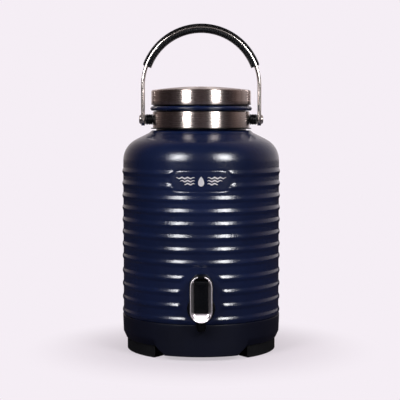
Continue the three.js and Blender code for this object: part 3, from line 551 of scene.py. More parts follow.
@dataclass
class RibbedBody(Maker):
    """Painted outer wall with its ribs, patches, shoulder and threaded neck."""

    wall_r: float = 85.0
    rib_rise: float = 1.05
    rib_half: float = 4.1
    lower_ribs: tuple[float, float, int] = (42.5, 14.4, 4)  # first, pitch, count
    upper_ribs: tuple[float, float, int] = (101.6, 13.2, 8)
    lowest_rib: float = 39.0
    shoulder_z: float = 205.6
    shoulder_r: float = 25.3
    cone_deg: float = 26.6
    neck_foot_r: float = 54.0
    rim_drop: float = 1.5
    skirt_in: float = 1.8
    emblem_patch: tuple[float, float, float] = (65.0, 21.5, 187.0)  # width, height, middle
    tap_patch: tuple[float, float, float] = (43.0, 55.0, 67.5)
    patch_edge: float = 0.75
    thread_low: float = 2.2
    thread_turns: float = 0.8
    thread_lead: float = 8.6
    thread_rise: float = 1.15
    thread_half: float = 1.2
    ink: float = 0.05
    ink_gap: float = 0.005
    wave_lengths: tuple[float, float, float] = (19.6, 15.6, 11.0)
    wave_start: float = 6.4
    wave_pitch: float = 3.1
    wave_half: float = 0.78
    wave_sway: float = 0.6
    wave_repeat: float = 6.0
    drop_half: tuple[float, float] = (3.9, 5.1)
    drop_sink: float = 0.4
    sides: int = 256

    def outline(self, inset: float, step: float) -> np.ndarray:
        """Open outline from the boot to the neck's rim, at a depth inside the painted face.

        It is straight up the wall, one arc over the shoulder, straight up the cone, a small concave
        round at the neck's foot, then straight up the neck.
        """
        slope = math.tan(math.radians(self.cone_deg))
        wall, neck, foot_r = self.wall_r - inset, NECK_R - inset, self.neck_foot_r - inset
        low, boot_top = self.span("outer_shell")[0], self.span("base_boot")[1]
        skirt = self.wall_r - self.skirt_in - inset
        start = [
            [skirt, low], [skirt, boot_top + 0.1], [skirt + 1.0, boot_top + 0.35],
            [wall - 0.25, boot_top + 0.45], [wall, boot_top + 0.8],
        ]
        turn = np.linspace(0, QUARTER - math.radians(self.cone_deg), 26)
        radius, centre = self.shoulder_r - inset, self.wall_r - self.shoulder_r
        arc_r, arc_z = centre + radius * np.cos(turn), self.shoulder_z + radius * np.sin(turn)
        foot_z = arc_z[-1] + (arc_r[-1] - foot_r) * slope
        rest = [
            [arc_r[-1] - 0.8, arc_z[-1] + 0.8 * slope + 0.12],
            [foot_r + 3.0, foot_z - 3.0 * slope], [foot_r + 1.0, foot_z + 0.15],
            [foot_r, foot_z + 0.9], [foot_r - 0.4, foot_z + 1.2], [neck + 0.6, foot_z + 1.2],
            [neck, foot_z + 1.8], [neck, self.span("mouth_ring")[1] - self.rim_drop],
        ]
        return refine(np.vstack([start, np.column_stack([arc_r, arc_z]), rest]), step)

    def rib_height(self, z: np.ndarray) -> np.ndarray:
        """Share of the full rib rise at a height: one raised cosine for each rib."""
        groups = (self.lower_ribs, self.upper_ribs)
        crests = [first + pitch * i for first, pitch, count in groups for i in range(count)]
        away = np.abs(z[..., None] - np.array(crests)) / self.rib_half
        return np.where(away < 1, 0.5 + 0.5 * np.cos(np.pi * away), 0.0).sum(-1) ** 0.85

    def patch_share(self, x: np.ndarray, z: np.ndarray, patch: tuple[float, ...]) -> tuple:
        """1 outside a patch and 0 within it, and a thin line along its edge."""
        width, height, middle = patch
        away = stadium_distance(x, z - middle, width, height)
        return smoothstep(-0.2, 1.4, away), np.exp(-((away / self.patch_edge) ** 2))

    def build_shell(self) -> None:
        """The outer wall: ribs raised from the turned outline, and flattened in both patches."""
        outside, inside = self.outline(0.0, 0.8), self.outline(STEEL_WALL, 40.0)[::-1]
        line = np.vstack([outside, inside])
        radius, height, turn = lathe(line, self.sides)
        x = np.where(np.cos(turn) > 0, radius * np.sin(turn), self.wall_r * 2)
        clear_emblem, emblem_edge = self.patch_share(x, height, self.emblem_patch)
        clear_tap, tap_edge = self.patch_share(x, height, self.tap_patch)
        painted = (np.arange(len(line)) < len(outside))[:, None]
        ribbed = painted & (height > self.lowest_rib) & (height < self.shoulder_z)
        rise = self.rib_rise * self.rib_height(height) * np.minimum(clear_emblem, clear_tap)
        rise -= 0.35 * emblem_edge + 0.2 * tap_edge
        rings = self.upright().place(radius + np.where(ribbed, rise, 0.0), height, turn)
        piece = sweep("painted_shell", rings, 40, True)
        self.add(piece, POWDER_COAT, "navy_paint", "outer_shell")

    def build_thread(self) -> None:
        """Two rolled thread starts on the neck: ridges swept up a helix, thinned at their ends."""
        low = self.span("neck_bead")[1] + self.thread_low
        share = np.linspace(0, 1, 150)
        swell = smoothstep(0, 0.08, share) * smoothstep(0, 0.08, 1 - share)
        section = np.linspace(0, np.pi, 9)
        ridge = (self.thread_rise * swell)[:, None] * np.sin(section) ** 0.8
        climb = low + share * self.thread_turns * self.thread_lead
        height = climb[:, None] + self.thread_half * np.cos(section)
        for start in range(2):
            turn = (share * self.thread_turns + start / 2) * TAU
            rings = self.upright().place(NECK_R - 0.3 + ridge, height, turn[:, None])
            self.add(sweep(f"neck_thread_{start + 1}", rings), POWDER_COAT, "navy_paint")

    def build_bead(self) -> None:
        """Painted stop ring between the collar and the lid, with a rounded nose."""
        (low, high), nose, inner = self.span("neck_bead"), self.radius("neck_bead"), NECK_R + 0.6
        line = fillet([
            (inner, low, 0.2), (nose - 1.5, low, 0.5), (nose, low + 1.9, 1.2),
            (nose, high - 1.9, 1.2), (nose - 1.5, high, 0.5), (inner, high, 0.2),
        ], steps=6)
        piece = revolve("neck_stop_ring", self.upright(), line, 160, crease=50)
        self.add(piece, POWDER_COAT, "navy_paint", "neck_bead")

    def build_wave(self, side: int, row: int) -> None:
        """One printed wave: a band of ink that swings up and down, thinned at both ends."""
        along = np.linspace(0, 1, 60)[:, None]
        length = self.wave_lengths[row]
        sway = self.wave_sway * np.sin(along * length / self.wave_repeat * TAU)
        centre = self.emblem_patch[2] + self.wave_pitch * (1 - row) + sway
        half = self.wave_half * np.sqrt(np.sin(np.pi * np.clip(along, 0.015, 0.985)))
        up, out = np.array([1, 1, -1, -1]), np.array([0, 1, 1, 0])
        radius = self.wall_r + self.ink_gap + self.ink * out
        turn = side * (self.wave_start + along * length) / self.wall_r
        rings = self.upright().place(radius, centre + half * up, turn)
        name = f"printed_wave_{'left' if side < 0 else 'right'}_{row + 1}"
        self.add(sweep(name, rings, 20), SILVER_INK)

    def build_drop(self) -> None:
        """The printed drop: a round that narrows to a point at the top."""
        angle = bearings(96)
        x = self.drop_half[0] * np.sin(angle) * np.sin(angle / 2) ** 0.9
        z = self.drop_half[1] * np.cos(angle)
        shares = np.array([0.02, 1.0, 1.0, 0.02])[:, None]
        levels = self.wall_r + self.ink_gap + np.array([0.0, 0.0, self.ink, self.ink])[:, None]
        middle = self.emblem_patch[2] - self.drop_sink
        rings = self.upright().place(levels, middle + shares * z, shares * x / self.wall_r)
        self.add(sweep("printed_drop", rings, 20), SILVER_INK)

    def build(self) -> None:
        """Builds every painted piece, and the plain emblem of a drop between two sets of waves."""
        self.build_shell()
        self.build_thread()
        self.build_bead()
        for side in (-1, 1):
            for row in range(len(self.wave_lengths)):
                self.build_wave(side, row)
        self.build_drop()


# ---- base


@dataclass
class BaseBoot(Maker):
    """Moulded boot with a front and a back apron, and its four rubber feet."""

    rim_r: float = 85.9
    side_r: float = 85.2
    side_z: float = 19.7
    well_z: float = 21.0
    step_r: float = 82.3
    ledge_r: tuple[float, float] = (81.5, 81.0)
    step_rise: float = 13.2
    apron_r: float = 84.75
    apron_t: float = 6.0
    wall: float = 2.4
    apron_deg: tuple[float, float] = (27.5, 35.0)
    under: int = 46  # points across the underside
    foot_r: float = 81.2
    foot_width: float = 17.0
    feet: tuple[tuple[str, float, float], ...] = (
        ("front_right", 37, 83), ("back_right", 97, 143),
        ("back_left", 217, 263), ("front_left", 277, 323),
    )
    groove_pitch: float = 2.6
    groove_depth: float = 0.45
    sides: int = 320

    def build_boot(self) -> None:
        """Boot: an outline with a step and one with an apron, blended by the bearing."""
        (low, top), floor = self.span("base_boot"), self.span("foot_front_left")[0] + self.step_rise
        inner, deep = self.rim_r - self.wall, floor + self.wall
        side, apron_in = (self.side_r, self.side_z), self.apron_r - self.apron_t
        upper = fillet([
            (0, deep), (inner - 2.5, deep), (inner, self.well_z), (inner, top, 0.5),
            (self.rim_r, top, 0.7), side,
        ], 1.0, 5)
        step = fillet([
            side, (self.step_r, floor, 0.5), *((r, floor) for r in self.ledge_r), (0, floor),
        ], 0.2, 5)
        apron = fillet([
            side, (self.apron_r, low, 0.9), (apron_in, low, 0.6), (apron_in, floor, 0.4),
            (0, floor),
        ], 0.2, 5)
        step, apron = respace(step[:-1], self.under)[1:], respace(apron[:-1], self.under)[1:]
        angle = bearings(self.sides)
        bearing = np.degrees(np.abs((angle + QUARTER) % np.pi - QUARTER))
        share_up = np.clip((apron[:, 1:] - low) / (floor - low), 0, 1)
        narrow, wide = self.apron_deg
        share = 1 - smoothstep(-0.7, 0.7, bearing - (narrow + (wide - narrow) * share_up))
        body = refine(upper, 3.0)[1:, :, None] * np.ones(self.sides)
        lower = [apron[:, k : k + 1] * share + step[:, k : k + 1] * (1 - share) for k in (0, 1)]
        radius, height = (np.vstack([body[:, k], lower[k]]) for k in (0, 1))
        piece = sweep("base_boot_moulding", self.upright().place(radius, height, angle), 30)
        self.add(piece, BOOT_POLYPROPYLENE, "boot_plastic", "base_boot")

    def build_foot(self, node: str, start: float, end: float) -> None:
        """One foot: a rounded block swept along the rim, with upright grooves in its outer face."""
        top, inner = self.span(node)[1], self.foot_r - self.foot_width
        section = refine(block(inner, self.foot_r, 0, top, (1.2, 1.4, 0.3, 0.3), 5), 0.9)
        share = np.linspace(0, 1, 150)
        arc = math.radians(end - start) * self.foot_r
        from_end = np.minimum(share, 1 - share) * arc
        squeeze = 1 - 0.09 * (1 - np.clip(from_end / 1.5, 0, 1)) ** 2
        centre = np.array([self.foot_r - self.foot_width / 2, top / 2])
        spots = centre + (section - centre) * squeeze[:, None, None]
        radius, height = spots[..., 0], spots[..., 1]
        face = smoothstep(self.foot_r - 0.6, self.foot_r - 0.1, radius)
        face *= smoothstep(1.2, 2.4, height) * smoothstep(0.8, 1.6, top - height)
        groove = 0.5 + 0.5 * np.cos(share * arc / self.groove_pitch * TAU)
        radius = radius - self.groove_depth * groove[:, None] * face
        turn = np.radians(start + (end - start) * share)[:, None]
        rings = self.upright().place(radius, height, turn)
        self.add(sweep(f"rubber_{node}", rings, 40), FOOT_RUBBER, "foot_rubber", node)

    def build(self) -> None:
        """Builds the boot and the feet."""
        self.build_boot()
        for name, start, end in self.feet:
            self.build_foot(f"foot_{name}", start, end)


# ---- collar and pivots


@dataclass
class Collar(Maker):
    """Steel band on a black liner, with a boss, a washer and a screw at each side for the handle.

    The outlines of the pivot's pieces hold a radius and a distance from the body's axis.
    """

    band_wall: float = 0.6
    boss_r: float = 5.7
    boss_span: tuple[float, float] = (53.0, 59.9)
    boss_grooves: tuple[float, float] = (54.9, 57.6)
    washer_r: tuple[float, float] = (2.3, 5.3)
    washer_span: tuple[float, float] = (60.2, 61.0)
    screw: tuple[Corner, ...] = (
        (0, 56.6), (2.0, 56.6, 0.2), (2.0, 65.6, 0.1), (5.0, 65.6, 0.25), (5.0, 66.3, 0.5),
        (3.9, 67.45, 0.6), (2.1, 67.6, 0.15), (1.75, 66.5, 0.1), (0, 66.5),
    )
    socket_r: float = 2.3
    socket_top: float = 67.5

    def build_rings(self) -> None:
        """The band, and the liner whose lip shows under it."""
        (low, high), outer = self.span("collar_band"), self.radius("collar_band")
        within = outer - self.band_wall
        band = block(within, outer, low, high, (0.15, 0.3, 0.3, 0.15))
        piece = revolve("collar_band_steel", self.upright(), band, 192)
        self.add(piece, TURNED_STEEL, "brushed_steel", "collar_band")
        (base, top), lip = self.span("collar_liner"), self.radius("collar_liner")
        inner, face, under = NECK_R + 0.6, within - GAP, low - GAP
        liner = fillet([
            (inner, base, 0.2), (lip, base, 0.5), (lip, under, 0.5), (face, under, 0.1),
            (face, top, 0.2), (inner, top, 0.2),
        ])
        piece = revolve("collar_liner_lip", self.upright(), liner, 192)
        self.add(piece, BLACK_ABS, "black_plastic", "collar_liner")

    def build_pivot(self, side: int, name: str) -> None:
        """Boss with two shallow grooves, washer, and a button screw."""
        axis, outer, (start, end) = self.sideways(side, PIVOT_Z), self.boss_r, self.boss_span
        corners = [(0, start - 0.9), (3.5, start - 0.9), (3.5, start, 0.2), (outer, start, 0.4)]
        for groove in self.boss_grooves:
            corners += [
                (outer, groove - 0.6, 0.2), (outer - 0.6, groove - 0.25, 0.2),
                (outer - 0.6, groove + 0.25, 0.2), (outer, groove + 0.6, 0.2),
            ]
        corners += [(outer, end, 0.6), (3.0, end, 0.3), (0, end)]
        line = fillet(corners, 0.2, 4)
        piece = revolve(f"handle_boss_{name}", axis, line, 64)
        self.add(piece, BLACK_ABS, "black_plastic", f"pivot_boss_{name}")
        washer = block(*self.washer_r, *self.washer_span, (0.2,) * 4)
        piece = revolve(f"handle_washer_{name}", axis, washer, 64)
        self.add(piece, BLACK_ABS, "silicone", f"pivot_washer_{name}")
        self.build_screw(axis, name)

    def build_screw(self, axis: Axis, name: str) -> None:
        """The screw, with a six-sided socket in a dome that runs down to a thin rim."""
        body = fillet(self.screw, 0.2)[1:-1]
        radius, height, turn = lathe(body, 72)
        sector = (turn + math.pi / 6) % (math.pi / 3) - math.pi / 6
        hexagon = 0.5 * (1 / np.cos(sector) + 1) * 0.97
        past_rim = np.arange(len(body)) >= np.argmax(body[:, 1] > self.socket_top)
        socket = past_rim[:, None] & (radius < self.socket_r)
        rings = axis.place(np.where(socket, radius * hexagon, radius), height, turn)
        piece = sweep(f"button_screw_{name}", rings, 35)
        self.add(piece, BUFFED_STEEL, "polished_steel", f"pivot_screw_{name}")

    def build(self) -> None:
        """Builds the collar and both pivots."""
        self.build_rings()
        for side, name in ((1, "right"), (-1, "left")):
            self.build_pivot(side, name)


# ---- handle


@dataclass
class BailHandle(Maker):
    """Flat steel bail with a black channel inside its arch and a black strip outside it."""

    arch_z: float = 285.9
    inner: float = 61.3
    thickness: float = 4.0
    width: float = 14.0
    grip_deg: float = 70.0
    channel_t: float = 3.0
    channel_lip: float = 1.5
    channel_half: float = 9.0
    slot_half: float = 7.3
    ridge_pitch: float = 2.4
    ridge_depth: float = 0.12
    ridge_skin: float = 0.6
    strip_half: float = 8.0
    strip_t: float = 1.6

    def arch(self, turn: np.ndarray, radius: np.ndarray, side: np.ndarray) -> np.ndarray:
        """Points at an angle from the top of the arch, a radius and a place along y."""
        turn, radius, side = np.broadcast_arrays(turn, radius, side)
        x, z = radius * np.sin(turn), self.arch_z + radius * np.cos(turn)
        return np.stack([x, self.axis_y + side, z], -1)

    def build_strap(self) -> None:
        """The bail: a rounded flat section carried up one leg, round the arch and down the other.

        Below the pivot the width follows a circle, which makes the round eye around each screw.
        """
        half, half_t = self.width / 2, self.thickness / 2
        eye = np.append(np.linspace(0.04, 1, 14), [1.4, 2.2, 3.5]) * half
        leg = self.arch_z - PIVOT_Z + half
        straight = np.append(eye, np.linspace(eye[-1] + 2, leg - 0.5, 12))
        turns = np.linspace(-QUARTER, QUARTER, 96)
        below = np.clip(half - straight, 0, None)
        widths = np.sqrt(half**2 - below**2)
        widths = np.concatenate([widths, np.full(len(turns), half), widths[::-1]])[:, None]
        fall = leg - straight
        drop = np.concatenate([fall, np.zeros(len(turns)), fall[::-1]])
        turn = np.pad(turns, len(straight), "edge")[:, None]
        nose = np.linspace(-QUARTER, QUARTER, 11)
        nose = np.append(nose, nose[::-1])
        inset, thick = (np.cos(nose) - 1) * half_t * 0.98, np.sin(nose) * half_t * 0.98
        side = np.repeat([1.0, -1.0], 11)
        across = side * np.maximum(widths + inset, 0.02)
        rings = self.arch(turn, self.inner + half_t + thick, across)
        rings[..., 2] -= drop[:, None]
        piece = sweep("bail_strap", rings, 40)
        self.add(piece, BUFFED_STEEL, "polished_steel", "handle_strap", body="handle")

    def grooves(self, turn: np.ndarray, radius: float, reach: float) -> np.ndarray:
        """Depth of rounded grooves along the arch, which fade out at both ends of the grip."""
        phase = turn * radius / self.ridge_pitch * TAU
        ends = smoothstep(0, 2.0, (reach - np.abs(turn)) * radius)
        return self.ridge_depth * ends * (0.5 + 0.5 * np.cos(phase)) ** 3

    def build_grip(self) -> None:
        """The channel under the strap, ridged on its sides and palm, and the strip on top."""
        bed, lip = self.inner - GAP, self.inner + self.channel_lip
        low, half, slot = bed - self.channel_t, self.channel_half, self.slot_half
        outline = fillet([
            (half, lip, 0.7), (half, low, 2.2), (-half, low, 2.2), (-half, lip, 0.7),
            (-slot, lip, 0.3), (-slot, bed, 0.3), (slot, bed, 0.3), (slot, lip, 0.3),
        ], steps=6)
        side, radius = refine(np.vstack([outline, outline[:1]]), 1.2)[:-1].T
        reach = math.radians(self.grip_deg)
        turn = np.linspace(-reach, reach, 560)
        carved = self.grooves(turn, low, reach)[:, None]
        radius = radius + carved * (radius < low + self.ridge_skin)
        side = side - np.sign(side) * carved * (np.abs(side) > half - self.ridge_skin)
        piece = sweep("grip_channel", self.arch(turn[:, None], radius, side), 40)
        self.add(piece, BLACK_ABS, "black_plastic", "grip_base", body="handle")
        outer, half = self.inner + self.thickness + GAP, self.strip_half
        strip = block(-half, half, outer, outer + self.strip_t, (0.3, 0.3, 0.8, 0.8), 6)
        turn = np.linspace(-reach, reach, 150)[:, None]
        from_end = (reach - np.abs(turn)) * outer
        taper = 1 - 0.3 * (1 - np.clip(from_end / 1.6, 0, 1)) ** 2
        rings = self.arch(turn, outer + (strip[:, 1] - outer) * taper, strip[:, 0])
        self.add(sweep("grip_strip", rings, 40), BLACK_ABS, "black_plastic", "grip_cover",
                 body="handle")

    def build(self) -> None:
        """Builds the bail and its grip."""
        self.build_strap()
        self.build_grip()


# ---- lid


@dataclass
class ScrewLid(Maker):
    """Brushed cap over a black threaded core, with a plug and a gasket."""

    side_drop: float = 4.0
    edge_in: float = 2.2
    edge_drop: float = 1.9
    core_bore: float = 50.8
    core_rim: float = 1.4
    plug_wall: float = 2.0
    mouth_bore: float = 45.4

    def dome(self, radius: float, inset: float, steps: int, end: float) -> list[Corner]:
        """Points of a shallow spherical dome from the axis out to a radius."""
        sphere = (radius**2 + self.side_drop**2) / (2 * self.side_drop)
        r = np.linspace(0, end, steps)
        fall = sphere - np.sqrt(sphere**2 - r**2)
        return list(zip(r, self.span("lid_shell")[1] - inset - fall))

    def build_cap(self) -> None:
        """The cap: dome, a rolled edge, a straight side and a turned-in foot."""
        outer, low = self.radius("lid_shell"), self.span("lid_shell")[0]
        edge = outer - self.edge_in
        dome = self.dome(outer, 0.0, 26, edge)
        turn = np.linspace(0.12, 1, 8) * QUARTER
        roll_r = edge + self.edge_in * np.sin(turn)
        roll_z = dome[-1][1] - self.edge_drop * (1 - np.cos(turn))
        foot = [
            (outer, low + 0.5), (outer - 0.25, low + 0.08), (outer - 0.5, low),
            (outer - STEEL_WALL, low + 0.1),
        ]
        inside = self.dome(outer, STEEL_WALL, 10, outer - STEEL_WALL - 0.4)[::-1]
        line = refine(np.array([*dome, *zip(roll_r, roll_z), *foot, *inside]), 4.0)
        piece = revolve("lid_cap_steel", self.upright(), line, 224, crease=35)
        self.add(piece, TURNED_STEEL, "brushed_steel", "lid_shell", body="lid")

    def build_core(self) -> None:
        """The core, which shows as a dark step under the cap."""
        foot, cap_low = self.span("lid_core")[0], self.span("lid_shell")[0]
        plate = self.span("lid_plug")[1] + GAP
        outer = self.radius("lid_shell") - STEEL_WALL - GAP
        bore, rim = self.core_bore, self.core_bore + self.core_rim
        top = self.dome(outer + 1.1, STEEL_WALL + 0.35, 12, outer - 0.3)[::-1]
        corners = [
            (0, plate), (bore, plate, 0.5), (bore, foot, 0.3), (rim, foot, 0.4),
            (rim, cap_low + 0.3, 0.2), (outer, cap_low + 0.9, 0.3),
        ]
        line = np.vstack([fillet(corners, 0.3), top])
        piece = revolve("lid_core_threaded", self.upright(), line, 160)
        self.add(piece, BLACK_ABS, "black_plastic", "lid_core", body="lid")

    def build_mouth(self) -> None:
        """The plug in the mouth, the gasket round it, and the rim that it closes on."""
        axis, (low, high), r = self.upright(), self.span("lid_plug"), self.radius("lid_plug")
        inside, floor = r - self.plug_wall, low + self.plug_wall
        plug = fillet([
            (0, low), (r - 3, low, 1.5), (r, low + 3, 2.5), (r, high, 0.3), (inside, high, 0.3),
            (inside, floor, 1.0), (0, floor),
        ], 0.4, 5)
        piece = revolve("lid_plug_moulding", axis, plug, 144)
        self.add(piece, BLACK_ABS, "black_plastic", "lid_plug", body="lid")
        (low, high), outer = self.span("lid_gasket"), self.radius("lid_gasket")
        ring = block(r + GAP, outer, low, high, (0.4, 0.7, 0.7, 0.4), 5)
        piece = revolve("lid_gasket_ring", axis, ring, 144)
        self.add(piece, SILICONE, "silicone", "lid_gasket", body="lid_seal")
        mouth = block(self.mouth_bore, NECK_R, *self.span("mouth_ring"), (0.1, 0.1, 0.5, 0.5), 5)
        piece = revolve("mouth_rim", axis, mouth, 144)
        self.add(piece, VESSEL_STEEL, "vessel_steel", "mouth_ring")

    def build(self) -> None:
        """Builds every part of the lid, and the rim that it closes on."""
        self.build_cap()
        self.build_core()
        self.build_mouth()


# ---- tap


@dataclass(frozen=True)
class Section:
    """A rounded upright box outline at one reach towards the front, in millimetres."""

    width: float
    low: float
    high: float
    round: float
    reach: float

    def points(self, axis_y: float, steps: int = 14) -> np.ndarray:
        """Corner arcs of the outline; equal counts let sections be skinned."""
        quarter = np.repeat(np.arange(4), steps)
        turn = quarter * QUARTER + np.tile(np.linspace(0, QUARTER, steps), 4)
        half_w, half_h = self.width / 2, (self.high - self.low) / 2
        corner = min(self.round, half_w - 0.001, half_h - 0.001)
        side_x, side_z = np.array([1, -1, -1, 1])[quarter], np.array([1, 1, -1, -1])[quarter]
        x = side_x * (half_w - corner) + corner * np.cos(turn)
        z = (self.low + self.high) / 2 + side_z * (half_h - corner) + corner * np.sin(turn)
        return np.column_stack([x, np.full(len(x), axis_y - self.reach), z])

    def inset(self, amount: float, reach: float) -> Section:
        """The same outline drawn in by an amount, at another reach."""
        low, high, corner = self.low + amount, self.high - amount, max(self.round - amount, 0.05)
        return Section(self.width - 2 * amount, low, high, corner, reach)

    def toward(self, other: Section, share: float, reach: float) -> Section:
        """An outline between this one and another."""
        mine = np.array([self.width, self.low, self.high, self.round])
        theirs = np.array([other.width, other.low, other.high, other.round])
        return Section(*(mine + (theirs - mine) * share), reach)

    def rounded_edge(self, front: float, radius: float) -> list[Section]:
        """Sections that round the front edge over: a quarter circle in inset and reach."""
        turn = np.linspace(0, QUARTER, 5)
        inset, back = radius * (1 - np.cos(turn)), radius * (1 - np.sin(turn))
        return [self.inset(i, front - b) for i, b in zip(inset, back)]


@dataclass
class LeverTap(Maker):
    """Black tap housing with a polished frame, a push lever and a nozzle.

    Every reach is a distance from the body's axis towards the front.
    """

    width: float = 22.8
    housing_margin: float = 0.9
    housing_reach: tuple[float, float] = (88.0, 96.9)
    rim: float = 1.0
    frame_reach: tuple[float, float] = (97.2, 101.8)
    dish_depth: float = 3.2
    slot: Section = Section(15.2, 52.4, 88.3, 1.2, 97.2)
    plate: Section = Section(14.6, 52.8, 83.6, 1.0, 97.5)
    plate_front: float = 101.3
    hollow: tuple[tuple[float, float], ...] = ((1.8, 101.0), (3.6, 100.75), (6.0, 100.65))
    knuckle_r: float = 2.0
    pivot_z: float = 84.0
    pivot_reach: float = 99.2
    valve_z: float = 56.0
    valve_boss: tuple[Corner, ...] = (
        (0, 87.6), (14.0, 87.6, 0.3), (14.6, 88.4, 0.4), (14.6, 91.2, 1.0), (13.2, 93.4, 1.4),
        (0, 93.4),
    )
    hood_width: float = 7.2
    hood_reach: tuple[float, float] = (95.9, 102.0)
    nozzle_reach: float = 91.5
    nozzle_r: tuple[float, float, float] = (2.2, 4.45, 5.2)  # bore, tip, root

    def skin(
        self, name: str, sections: list[Section], crease: float = 40.0, wrap: bool = False
    ) -> Piece:
        """Closed skin over sections."""
        return sweep(name, np.stack([s.points(self.axis_y) for s in sections]), crease, wrap)

    def turned(
        self, name: str, axis: Axis, line: np.ndarray, sides: int, body: str = "root"
    ) -> None:
        """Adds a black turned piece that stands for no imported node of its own."""
        piece = revolve(name, axis, line, sides)
        self.add(piece, BLACK_ABS, "black_plastic", body=body)

    def build_housing(self) -> None:
        """The housing: a stadium block, a round valve boss behind it, a small hood, the nozzle."""
        low, high = self.span("tap_frame")
        low, high = low - self.housing_margin, high + self.housing_margin
        outer, (back, front) = self.width + 2 * self.housing_margin, self.housing_reach
        block = Section(outer, low, high, outer / 2, back)
        sections = [
            block.inset(0.9, back), block.inset(0.25, back + 0.25), block.inset(0, back + 0.9),
            *block.rounded_edge(front, 0.7),
        ]
        piece = self.skin("tap_housing", sections)
        self.add(piece, BLACK_ABS, "black_plastic", "tap_body")
        boss = fillet(self.valve_boss, 0.3, 6)
        self.turned("tap_valve_boss", self.outward(self.valve_z), boss, 96)
        back, front = self.hood_reach
        hood = Section(self.hood_width, high - 3.9, high - 0.2, 1.3, back)
        piece = self.skin("tap_hood", [hood, *hood.rounded_edge(front, 0.7)])
        self.add(piece, BLACK_ABS, "black_plastic")
        end, root_z, (bore, tip, root) = self.span("tap_body")[0], low + 1.5, self.nozzle_r
        line = fillet([
            (0, end + 4), (bore, end + 4), (bore, end, 0.3), (tip, end, 0.5),
            (tip, end + 1.9, 0.2), (root, end + 2.3, 0.3), (root, root_z, 0.2), (0, root_z),
        ], 0.2, 5)
        self.turned("tap_nozzle", self.upright(self.nozzle_reach), line, 72)

    def build_frame(self) -> None:
        """The polished frame: a thin bright rim, then a dish that curves in to the slot."""
        (low, high), (back, front) = self.span("tap_frame"), self.frame_reach
        outer = Section(self.width, low, high, self.width / 2, back)
        edge = front - 0.1
        lip = outer.inset(self.rim, edge)
        dish = [
            lip.toward(self.slot, share, edge - self.dish_depth * math.sin(share * QUARTER))
            for share in np.linspace(0, 1, 12)
        ]
        sections = [outer, *outer.rounded_edge(front, 0.35), *dish, self.slot]
        piece = self.skin("tap_frame_polished", sections, 38, True)
        self.add(piece, SATIN_STEEL, "polished_steel", "tap_frame")

    def build_lever(self) -> None:
        """The lever: a plate with a shallow thumb hollow across it, under a round knuckle."""
        plate = self.plate
        sections = [plate.inset(0.3, plate.reach), plate.inset(0.0, plate.reach + 0.3)]
        sections += plate.rounded_edge(self.plate_front, 0.8)
        sections += [plate.inset(amount, reach) for amount, reach in self.hollow]
        piece = self.skin("tap_lever_plate", sections, 50)
        self.add(piece, BLACK_ABS, "black_plastic", "tap_lever", body="lever")
        half, r = plate.width / 2, self.knuckle_r
        origin = (0.0, self.axis_y - self.pivot_reach, self.pivot_z)
        corners = [(0, -half), (r, -half, 0.4), (r, half, 0.4), (0, half)]
        line = fillet(corners, 0.3, 5)
        self.turned("tap_lever_knuckle", Axis(origin, (1, 0, 0), (0, 0, 1)), line, 48, "lever")

    def build(self) -> None:
        """Builds the tap."""
        self.build_housing()
        self.build_frame()
        self.build_lever()


# ---- carried-over parts


CARRIED = {
    VESSEL_STEEL: ("inner_vessel", "tap_tube", "outer_bottom", "vacuum_seal_button"),
    BUFFED_STEEL: (
        "grip_screw_right", "grip_screw_left", "lever_pin", "tap_nut", "valve_stem", "valve_spring",
    ),
    FOAM: ("lid_insulation",),
    SILICONE: ("tap_gasket", "tap_inner_washer", "valve_seal"),
    BLACK_ABS: ("tap_shank",),
}


def dress_carried(frame: dict, palette: Palette) -> None:
    """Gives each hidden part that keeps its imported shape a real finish."""
    for finish, nodes in CARRIED.items():
        for node in nodes:
            palette.dress(frame["nodes"][node], finish)
            LOG.info("%s keeps its packed shape", node)


# ---- studio


